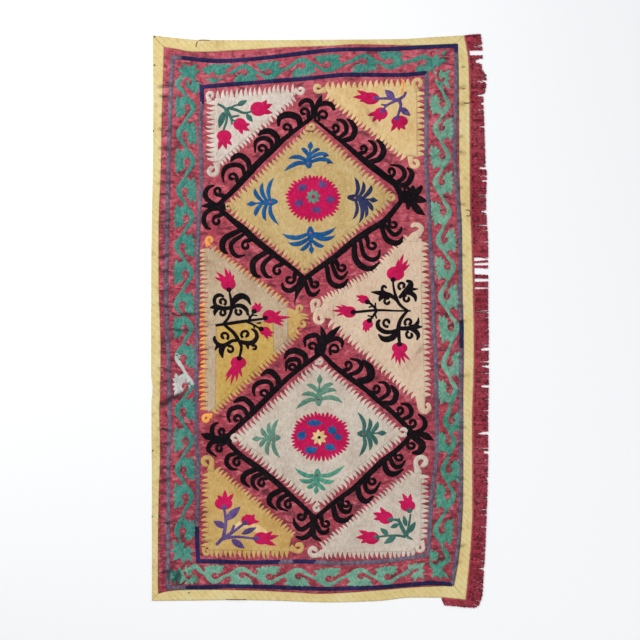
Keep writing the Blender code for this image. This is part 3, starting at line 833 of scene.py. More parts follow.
def makeHeading(material):
    # a narrow woven tape: face height = h (0.62 + 0.38 |cos|) with a bound edge, ribbed along its length
    total = fringeLength()
    distances = np.linspace(0, total, 1150)
    place, outward, _ = fringeRoots(distances)
    share = np.linspace(0, 1, 6)
    points = place[:, None] + outward[:, None] * (0.3 * mm + share[None, :, None] * fringe["headingWidth"])
    crown = np.array([0.35, 0.9, 0.8, 1.0, 0.8, 0.35])
    rib = 0.92 + 0.08 * np.sin(distances * 2 * math.pi / (4.2 * mm))
    above = fringe["headingHeight"] * crown[None, :] * rib[:, None]
    vertices, faces = slab(points, np.zeros(above.shape), above)
    # painted shade across the tape: darker at its low edges and in its dips
    packedShade = np.tile(np.array([0.55, 0.05, 0.3, 0.0, 0.25, 0.7]), len(distances))
    uv = np.stack([np.repeat(distances, 6), np.tile(share, len(distances))], axis=-1)
    marks = {"packedShade": np.concatenate([packedShade, packedShade]), "tone": np.full(2 * len(packedShade), 0.12)}
    mesh = makeMesh("fringe_heading", vertices, [faces], marks, uv=np.concatenate([uv, uv]))
    return addPiece("fringe_heading", mesh, material, ["fringe"])


# The embroidery: every motif is laid as strokes of thread, kept by thread until each becomes one piece

stitch = {"height": 1.0 * mm, "level": 0.55 * mm, "sunk": 1.1 * mm, "fineSunk": 0.12 * mm, "patch": 0.75 * mm,
          "patchCell": 7.0 * mm, "toneSpread": 0.09, "thinnest": 0.12}
laid = {}
strokeTones = np.random.default_rng(8)


def knotsOf(places, widths):
    # rows of (x, y, width)
    return np.concatenate([places, np.asarray(widths, float)[..., None]], axis=-1)


def around(middle, degrees, reachX, reachY=None):
    # chart places round a middle: (x + rx cos a, y - ry sin a), a counted against the clock
    angle = np.radians(degrees)
    reachY = reachX if reachY is None else reachY
    return np.stack([middle[0] + reachX * np.cos(angle), middle[1] - reachY * np.sin(angle)], axis=-1)


def stitchBase(points, level=0):
    # the height of the cloth's face, and a level more for each layer of thread below
    return clothLift(points) + clothCut["clothThickness"] + level * stitch["level"]


def smoothThrough(knots, perSpan):
    # Catmull-Rom on (x, y, width): 0.5 (2b + (c - a) t + (2a - 5b + 4c - d) t^2 + (3b - a - 3c + d) t^3)
    first = 2 * knots[:, :1] - knots[:, 1:2]
    last = 2 * knots[:, -1:] - knots[:, -2:-1]
    padded = np.concatenate([first, knots, last], axis=1)
    spans = knots.shape[1] - 1
    a, b, c, d = (padded[:, i:i + spans, None] for i in range(4))
    t = (np.arange(perSpan) / perSpan)[:, None]
    curve = 0.5 * (2 * b + (c - a) * t + (2 * a - 5 * b + 4 * c - d) * t**2 + (3 * b - a - 3 * c + d) * t**3)
    return np.concatenate([curve.reshape(len(knots), -1, 3), knots[:, -1:]], axis=1)


def lay(thread, knots, level=0, height=1.0, perSpan=4, fine=False):
    # an arch of thread over each line: w/2 times across to each side, height times up, its foot in the cloth
    knots = np.asarray(knots, float)
    curve = smoothThrough(knots[None] if knots.ndim == 2 else knots, perSpan)
    place = toCloth(curve[..., :2])
    half = np.maximum(curve[..., 2], stitch["thinnest"]) * chart["square"] / 2
    heading = unit(np.gradient(place, axis=1))
    side = np.stack([heading[..., 1], -heading[..., 0]], axis=-1)
    across = np.array([-1, -0.8, 0.8, 1.0]) if fine else np.array([-1, -0.88, 0, 0.88, 1])
    up = np.array([0, 0.72, 0.72, 0]) if fine else np.array([0, 0.62, 1, 0.62, 0])
    points = place[:, :, None] + side[:, :, None] * (across[:, None] * half[..., None, None])
    rise = up * stitch["height"] * height * np.minimum(1, 0.35 + half / (1.6 * mm))[..., None]
    z = stitchBase(points, level) + np.where(up > 0, rise, -stitch["fineSunk" if fine else "sunk"])
    vertices = np.concatenate([points, z[..., None]], axis=-1)
    count, stations, sides = vertices.shape[:3]
    step = np.linalg.norm(np.diff(place, axis=1), axis=-1)
    run = np.concatenate([np.zeros((count, 1)), step.cumsum(axis=1)], axis=1)
    uv = np.stack(np.broadcast_arrays(run[..., None], 0.5 * across * half[..., None]), axis=-1)
    tone = stitch["toneSpread"] * strokeTones.uniform(-1, 1, count)
    tone = np.repeat(tone, stations * sides)
    faces = ringFaces(count, stations, sides)
    laid.setdefault(thread, []).append((vertices.reshape(-1, 3), faces, uv.reshape(-1, 2), tone))


def patch(thread, firstEdge, lastEdge):
    # a filled shape ruled between two edges with as many places each: point = (1 - u) first + u last
    first, last = toCloth(firstEdge), toCloth(lastEdge)
    spans = np.linalg.norm(np.diff((first + last) / 2, axis=0), axis=1)
    cells = (spans / stitch["patchCell"]).astype(int) + 1
    at = np.concatenate([i + np.arange(n) / n for i, n in enumerate(cells)] + [[len(spans)]])
    first, last = (np.stack([np.interp(at, np.arange(len(edge)), edge[:, k]) for k in (0, 1)], axis=-1)
                   for edge in (first, last))
    wide = np.linalg.norm(last - first, axis=1).max()
    u = np.linspace(0, 1, int(wide / stitch["patchCell"]) + 2)[None, :, None]
    points = (1 - u) * first[:, None] + u * last[:, None]
    base = stitchBase(points)
    vertices, faces = slab(points, base - stitch["sunk"], base + stitch["patch"])
    laid.setdefault(thread, []).append((vertices, [faces], vertices[:, :2], np.zeros(len(vertices))))


def makeThread(thread, material):
    # all that was laid in one thread, joined into one piece
    points, blocks, uvs, tones = zip(*laid[thread])
    starts = np.cumsum([0] + [len(part) for part in points])
    moved = [block + start for part, start in zip(blocks, starts) for block in part]
    sizes = sorted({block.shape[1] for block in moved})
    faces = [np.concatenate([block for block in moved if block.shape[1] == size]) for size in sizes]
    vertices = np.concatenate(points)
    marks = marksOf(vertices, np.concatenate(tones))
    mesh = makeMesh("thread_" + thread, vertices, faces, marks, uv=np.concatenate(uvs), flatWalls=True)
    return addPiece("thread_" + thread, mesh, material)


def stroke(thread, places, widths, level=0, height=1.0, perSpan=4):
    # one line of thread through chart places, its width at each place spread from the list of widths
    places = pairs(places)
    wide = np.interp(np.linspace(0, 1, len(places)), np.linspace(0, 1, len(widths)), widths)
    lay(thread, knotsOf(places, wide), level, height, perSpan)


def leaf(thread, base, tip, width, bow=0.0, level=0, height=1.0, blunt=0.06):
    # a pointed leaf: the line from base to tip pushed sideways by bow sin(pi t), width w sin(pi t^0.8)^0.8
    t = np.linspace(0, 1, 6)
    along = np.asarray(tip, float) - base
    side = unit(np.array([along[1], -along[0]]))
    places = base + along * t[:, None] + side * (bow * np.sin(math.pi * t))[:, None]
    wide = width * np.maximum(np.sin(math.pi * t**0.8), 0) ** 0.8
    wide = np.maximum(wide, width * np.where(t > 0.5, blunt, 0.30))
    lay(thread, knotsOf(places, wide), level, height, 3)


def curl(thread, middle, radius, start, sweep, width, level=0, height=1.0, tail=0.0, tailWidth=None):
    # a spiral: radius r times each share as the angle runs from start by sweep, ending in a round blob; its
    # tail comes in along the tangent, as wide as tailWidth at its root
    shares = np.array([1.0, 1.0, 0.99, 0.97, 0.92, 0.82, 0.64, 0.42, 0.18])
    places = around(middle, start + sweep * np.linspace(0, 1, len(shares)), radius * shares)
    wide = width * np.array([1.0, 0.98, 0.95, 0.92, 0.92, 0.95, 1.05, 1.2, 1.26])
    if tail:
        angle = math.radians(start)
        back = np.array([math.sin(angle), math.cos(angle)]) * math.copysign(tail, sweep)
        places = np.concatenate([[places[0] + back, places[0] + back * 0.45], places])
        root = tailWidth or width
        wide = np.concatenate([[root, 0.45 * root + 0.55 * width], wide])
    lay(thread, knotsOf(places, wide), level, height, 3)


def layDisc(thread, middle, radii, level=0, height=1.0):
    # a filled round: width 2 ry sqrt(1 - t^2) along a level line of half length rx
    t = np.sin(np.linspace(-0.5, 0.5, 13) * math.pi)
    places = np.stack([middle[0] + radii[0] * t, np.full(len(t), float(middle[1]))], axis=-1)
    lay(thread, knotsOf(places, 2 * radii[1] * np.sqrt(np.maximum(1 - t**2, 0.004))), level, height, 3)


# The points along an edge: how far each starts inside the field, how it strays and bends, and its height.
tooth = {"root": 2.2, "jitter": 0.1, "bend": 0.3, "height": 0.79, "tipHeight": 0.92, "tipWider": 0.4}


def teeth(first, last, outward, length, pitch, thread, tipThread=None):
    # a row of points along a line: each starts inside the field, a pitch wide, and bends a little at its tip,
    # which may be worked over in another thread from a third of the way out
    run = np.linalg.norm(last - first)
    count = max(2, int(round(run / pitch)))
    rng = np.random.default_rng(int(first[0] * 31 + last[1] * 7))
    along = (last - first) / run
    at = (np.arange(count) + 0.5 + rng.uniform(-tooth["jitter"], tooth["jitter"], count)) * run / count
    base = first + along * at[:, None]
    long = 1.14 * length * rng.uniform(0.84, 1.12, count)[:, None]
    wide = run / count * rng.uniform(0.88, 1.05, count)
    shares = np.array([-tooth["root"] / length, 0.12, 0.45, 0.78, 1.0])
    bend = tooth["bend"] * np.array([0, 0, -0.2, 0.2, 1.0])
    lean = rng.uniform(0.2, 1.0, (count, 1, 1))
    spine = base[:, None] + outward * long[:, None] * shares[:, None]
    spine = spine + along * bend[:, None] * lean * run / count
    knots = knotsOf(spine, wide[:, None] * np.array([1.12, 0.98, 0.7, 0.4, 0.06]))
    lay(thread, knots, 0, tooth["height"], 2, fine=True)
    if tipThread:
        outer = knots[:, 1:] + np.array([0, 0, tooth["tipWider"]])
        outer[:, 0] = 0.4 * outer[:, 0] + 0.6 * outer[:, 1]
        lay(tipThread, outer, 0, tooth["tipHeight"], 2, fine=True)


# Two lines frame the vine; each run is one colour of thread, with the chart places that it passes.
frameLines = {
    "width": 4.2,
    "runs": [("greyViolet", [182, 57.8, 171.4, 57.2]),
      ("greyViolet",
        [173.6, 55.4, 172.6, 66, 171.6, 80, 170.6, 100, 169.8, 130, 168.9, 160, 167.9, 200, 167, 250,
          166.4, 300, 167, 322, 168.8, 360, 169.6, 400, 169.8, 430, 168.4, 460, 168.2, 520, 168.1,
          589.2]),
      ("greyViolet", [166.4, 587.4, 186, 587.4]),
      ("navy",
        [181, 57.8, 215, 61, 250, 59.4, 290, 55, 330, 50.2, 360, 49.4, 389, 49.2, 425, 47.2, 457.6,
          45.8]),
      ("navy", [455.9, 44, 456, 49, 456.1, 54]),
      ("greyViolet",
        [456.1, 52, 456.2, 70, 456, 100, 455.2, 130, 455.1, 160, 457.4, 195, 459.4, 220, 460, 250,
          460.2, 296, 460.8, 310, 461.2, 321]),
      ("inkBlue", [461.2, 319, 461.5, 328, 461.3, 348]),
      ("greyViolet",
        [461.3, 346, 460.9, 370, 460.7, 400, 460.7, 450, 460.4, 500, 458.4, 540, 455.4, 562, 452,
          584.5]),
      ("navy",
        [184, 587.4, 208, 587, 232, 586, 262, 586.6, 300, 588, 330, 588.8, 354, 588, 377, 587.2, 402,
          585.2, 428, 583, 440, 583.2, 452, 584.2]),
      ("navy", [201.9, 104, 202, 95, 201.8, 85.2]),
      ("navy",
        [199.8, 87.3, 225, 85, 257.6, 82.5, 280, 80.6, 300, 79.3, 322, 77, 344.6, 74.9, 374, 75, 402,
          75, 426.5, 73]),
      ("greyViolet",
        [201.9, 102, 201, 118, 200.3, 135, 201, 158, 201.4, 180, 199.8, 206, 198.2, 230, 197.8, 260,
          197.6, 290, 197.5, 312, 196.8, 346, 196.3, 380, 196.3, 410, 196.6, 440, 198.2, 460, 197.8,
          490, 197.1, 528]),
      ("navy", [197.1, 526, 197.4, 545, 198.3, 562.8]),
      ("navy", [196.2, 560.8, 220, 561.4, 244.8, 562.4, 264, 562.2, 280, 561.6]),
      ("greyViolet", [278, 561.8, 286, 561.6, 295, 561.4]),
      ("navy", [293, 561.4, 304, 561.3, 316, 561.8]),
      ("greyViolet",
        [314, 561.8, 326, 562.6, 338.3, 563, 364, 562.2, 389.3, 560.5, 410, 557.6, 427.8, 554.8]),
      ("greyViolet",
        [426.5, 73, 426.3, 100, 426.3, 140, 426.5, 173, 428.2, 200, 429.2, 222, 430.7, 249, 432.2,
          275, 433.3, 300, 433.4, 325, 435, 346, 435.9, 364, 436.3, 390, 436.5, 415, 436.4, 453,
          434.4, 474, 432, 491, 430.2, 515, 428.8, 542, 427.8, 555])],
}


def layFrameLines():
    # a slightly wavering line through each run's places, with a station at least every 3 squares
    for thread, places in frameLines["runs"]:
        places = pairs(places)
        waver = np.sin(np.arange(len(places)) * 2.3)
        longest = np.linalg.norm(np.diff(places, axis=0), axis=1).max()
        widths = frameLines["width"] * (1 + 0.06 * waver)
        stroke(thread, places, widths, level=1.7, height=0.75, perSpan=max(8, int(longest / 3)))


# The vine runs round the cloth against the clock. Its stem is as wide as swell at each swing, neck half way
# between two and end at its ends. A leaf is lobes in the vine's own squares, along the vine and across it
# from the swing's place towards the leaf's side; leafSquare is the gap between swings for a full-sized leaf.
vine = {
    "neck": 3.0, "swell": 7.6, "end": 1.4, "lift": 0.5, "leafSquare": 54,
    "reach": {"left": 0.97, "right": 0.97, "top": 0.84, "bottom": 0.86},
    "leafHub": (-1.5, 9.8), "leafRoot": (-10.5, 4.0), "leafWidth": 12.0,
    "lobes": [(-12.5, 15.0, 4.4), (-7.0, 17.6, 4.4), (-1.0, 18.6, 4.2), (5.0, 18.0, 4.2), (11.5, 16.8, 4.6),
              (10.8, 11.4, 4.2), (8.6, 7.4, 3.4)],
    "comma": [(14.5, 13.5), (9.5, 8.8), (4.5, 4.4), (0.4, 3.4), (-1.6, 5.4), (0.2, 7.6), (2.6, 6.8)],
    "commaWidths": [2.2, 2.8, 3.2, 3.2, 2.9, 3.0, 3.6],
}
# x, y, x, y ... of the stem's middle line at each swing, in the order that the vine grows.
vineRuns = [
    ("left", [189.6, 72, 178.6, 84, 192.6, 107, 179.8, 134, 192.3, 161, 179.8, 190.5, 191.3, 217.6, 177.8,
        246, 190.6, 273, 177.3, 304, 190.3, 327.5, 178.2, 357, 190.6, 385, 178.3, 410, 190.8, 440,
        178.1, 469, 190.6, 496, 178, 529, 181, 547]),
    ("bottom", [186, 572, 195, 567.4, 213.9, 580.2, 241.7, 570.0, 268.5, 581.2, 298, 571.2, 328, 583.2, 360,
        571.2, 387, 581.4, 412, 570.4, 421, 566]),
    ("right", [438, 572, 447, 558, 436.4, 530, 452.4, 496.6, 443.6, 470, 453.2, 441.9, 446.2, 420.9, 454.6,
        390.5, 444.4, 363.4, 456, 327.6, 441.4, 297.2, 452.4, 266.9, 439, 240.8, 448.2, 212, 436.2,
        182.7, 447.4, 156.7, 436.2, 128.5, 447.4, 104.7, 439, 82, 436, 72]),
    ("top", [437, 59, 422.5, 58.2, 390, 66.2, 364, 57.2, 328.2, 69.4, 302, 61.4, 269.5, 76.6, 244.6, 67.8,
        214, 79.6, 205.6, 80]),
]


def vineThread(run, x, y):
    # which green the embroiderer had in hand there
    if run == "left":
        return "silver" if 366 < y < 392 else "teal"
    if run == "top":
        return "teal"
    if run == "right":
        return "seaGreen" if y > 405 else "paleGreen"
    return "seaGreen" if x < 200 else "paleGreen"


def layLeafOn(thread, origin, ahead, aside, size):
    # a broad lobed leaf: lobes and body in the vine's own squares, carried to place = o + u ahead + v aside
    def carried(u, v):
        return origin + ahead * u * size + aside * v

    body = [carried(*vine["leafRoot"]), carried(-6.5, 8.8), carried(*vine["leafHub"]), carried(3, 11.8),
            carried(6.5, 11.5)]
    stroke(thread, body, [5.0, 8.5, vine["leafWidth"], 9.0, 5.0], level=vine["lift"], height=0.95)
    for u, v, width in vine["lobes"]:
        start = carried(u * 0.35 - 0.8, 9.5 + 0.2 * v)
        leaf(thread, start, carried(u, v), width, bow=0.5, level=vine["lift"], height=0.9)
    stroke("crimson", [carried(u, v) for u, v in vine["comma"]], vine["commaWidths"], level=2.2, height=0.6)


# Where a run of the vine ends it breaks into a fan of lobes: thread, its middle and radius, the tips and
# width, and the places of the satin curl that is left open in it.
vineFans = [
    ("teal", (188.6, 74.4), 7.4, [184, 63.4, 190.4, 66, 197, 64.4, 200.4, 71, 178.6, 68, 179.6, 78],
      6.4, [184.6, 86, 183.4, 81.6, 186.8, 78.8, 190.4, 81, 190.2, 84.6]),
    ("teal", (194.6, 86.4), 5.2, [200, 83, 199.8, 89.6, 196.4, 94.6, 191.6, 93.4], 5,
      [196.6, 78.6, 198, 80, 200.6, 80.6]),
    ("teal", (182.4, 549.6), 7.4,
      [172.4, 541, 170.8, 550.4, 173.2, 560, 183.6, 563, 192.6, 561.6, 193.6, 551.8], 6.8,
      [195, 536.6, 190.6, 541.4, 186.6, 544, 184.6, 547.6]),
    ("teal", (219.6, 70.6), 6.2, [208, 65.2, 217, 64.6, 225.6, 63.8, 233, 64.6, 206.4, 71.6], 5,
      [229, 74, 220, 77.2, 212.6, 76.6]),
    ("teal", (437.6, 60.6), 5.6, [430.4, 69, 438.4, 67.4, 447.4, 61.6, 446.8, 50.4, 438.6, 50], 4.4,
      [433, 50, 438, 53.4, 441.6, 56, 439.4, 59]),
    ("paleGreen", (442.4, 78), 6.4, [433.4, 70.6, 441.6, 69.6, 450.4, 70.4, 450.8, 79, 450, 89.6], 5,
      [438.6, 70, 437.4, 74.4, 438.4, 79.4, 442.4, 80.6, 444, 77.6]),
    ("seaGreen", (437.6, 571), 5, [430.8, 551.8, 429, 561.6, 431.4, 577, 441, 579.6, 448.6, 578], 4.6,
      [439, 553.6, 438.4, 559, 435, 563, 432.8, 559.6]),
    ("paleGreen", (414.6, 571), 7,
      [408.4, 563.6, 417, 562.6, 425, 562.6, 425, 570.6, 424, 578.4, 414.6, 581], 5.8,
      [404, 577, 409, 575.6, 413, 571, 418.4, 569.4]),
    ("seaGreen", (173.4, 574.6), 4.2, [168.6, 567, 167.6, 573.6, 168.4, 580.6, 174.6, 584], 3.8, []),
    ("paleGreen", (185.6, 573.4), 6.4,
      [178.6, 567, 186.6, 565.4, 193.6, 566.6, 180, 583.6, 189, 582.4], 5, []),
    ("deepTeal", (177, 575), 5.4, [169.6, 567.8, 168.8, 575, 171.4, 582.6, 179.6, 584, 184.6, 567.4],
      4.6, [183.4, 566, 184.6, 572, 188.4, 577.6, 191.4, 575]),
    ("paleGreen", (191.4, 578.4), 4, [184.6, 583.8, 192, 584.6, 197.6, 582.6, 197, 574], 3.6, []),
]


def layVineFans():
    for thread, middle, radius, tips, width, opening in vineFans:
        layDisc(thread, middle, (radius, radius), vine["lift"], 0.9)
        for tip in pairs(tips):
            leaf(thread, middle, tip, width, bow=0.5, level=vine["lift"], height=0.9, blunt=0.14)
        if opening:
            stroke("crimson", opening, vine["commaWidths"][:5], level=2.2, height=0.6)


def layStem(run, places):
    # the stem's line passes every swing, with a neck half way between two; it is laid from swing to swing, so
    # that its thread can change, and each part is cut from a curve that also passes the swings beside it
    for first in range(len(places) - 1):
        near = places[max(first - 1, 0):first + 3]
        knots = np.repeat(near, 2, axis=0)[:-1]
        knots[1::2] = (near[:-1] + near[1:]) / 2
        widths = np.where(np.arange(len(knots)) % 2, vine["neck"], vine["swell"])
        if first == 0:
            widths[0] = vine["end"]
        if first + 2 >= len(places):
            widths[-1] = vine["end"]
        curve = smoothThrough(knotsOf(knots, widths)[None], 4)[0]
        thread = vineThread(run, *(places[first] + places[first + 1]) / 2)
        lay(thread, curve[7:18] if first else curve[:10], level=vine["lift"], height=1.05, perSpan=2)


def layVine():
    # a lobed leaf fills the hollow side of each swing, sized by the gap between the swings beside it
    for run, flat in vineRuns:
        places = pairs(flat)
        layStem(run, places)
        for i in range(1, len(places) - (2 if run in ("bottom", "right") else 1)):
            gap = places[i + 1] - places[i - 1]
            ahead = unit(gap)
            aside = np.array([ahead[1], -ahead[0]]) * vine["reach"][run]
            if np.dot((places[i + 1] + places[i - 1]) / 2 - places[i], aside) < 0:
                aside = -aside
            size = np.linalg.norm(gap) / vine["leafSquare"]
            layLeafOn(vineThread(run, *places[i]), places[i], ahead, aside, size)


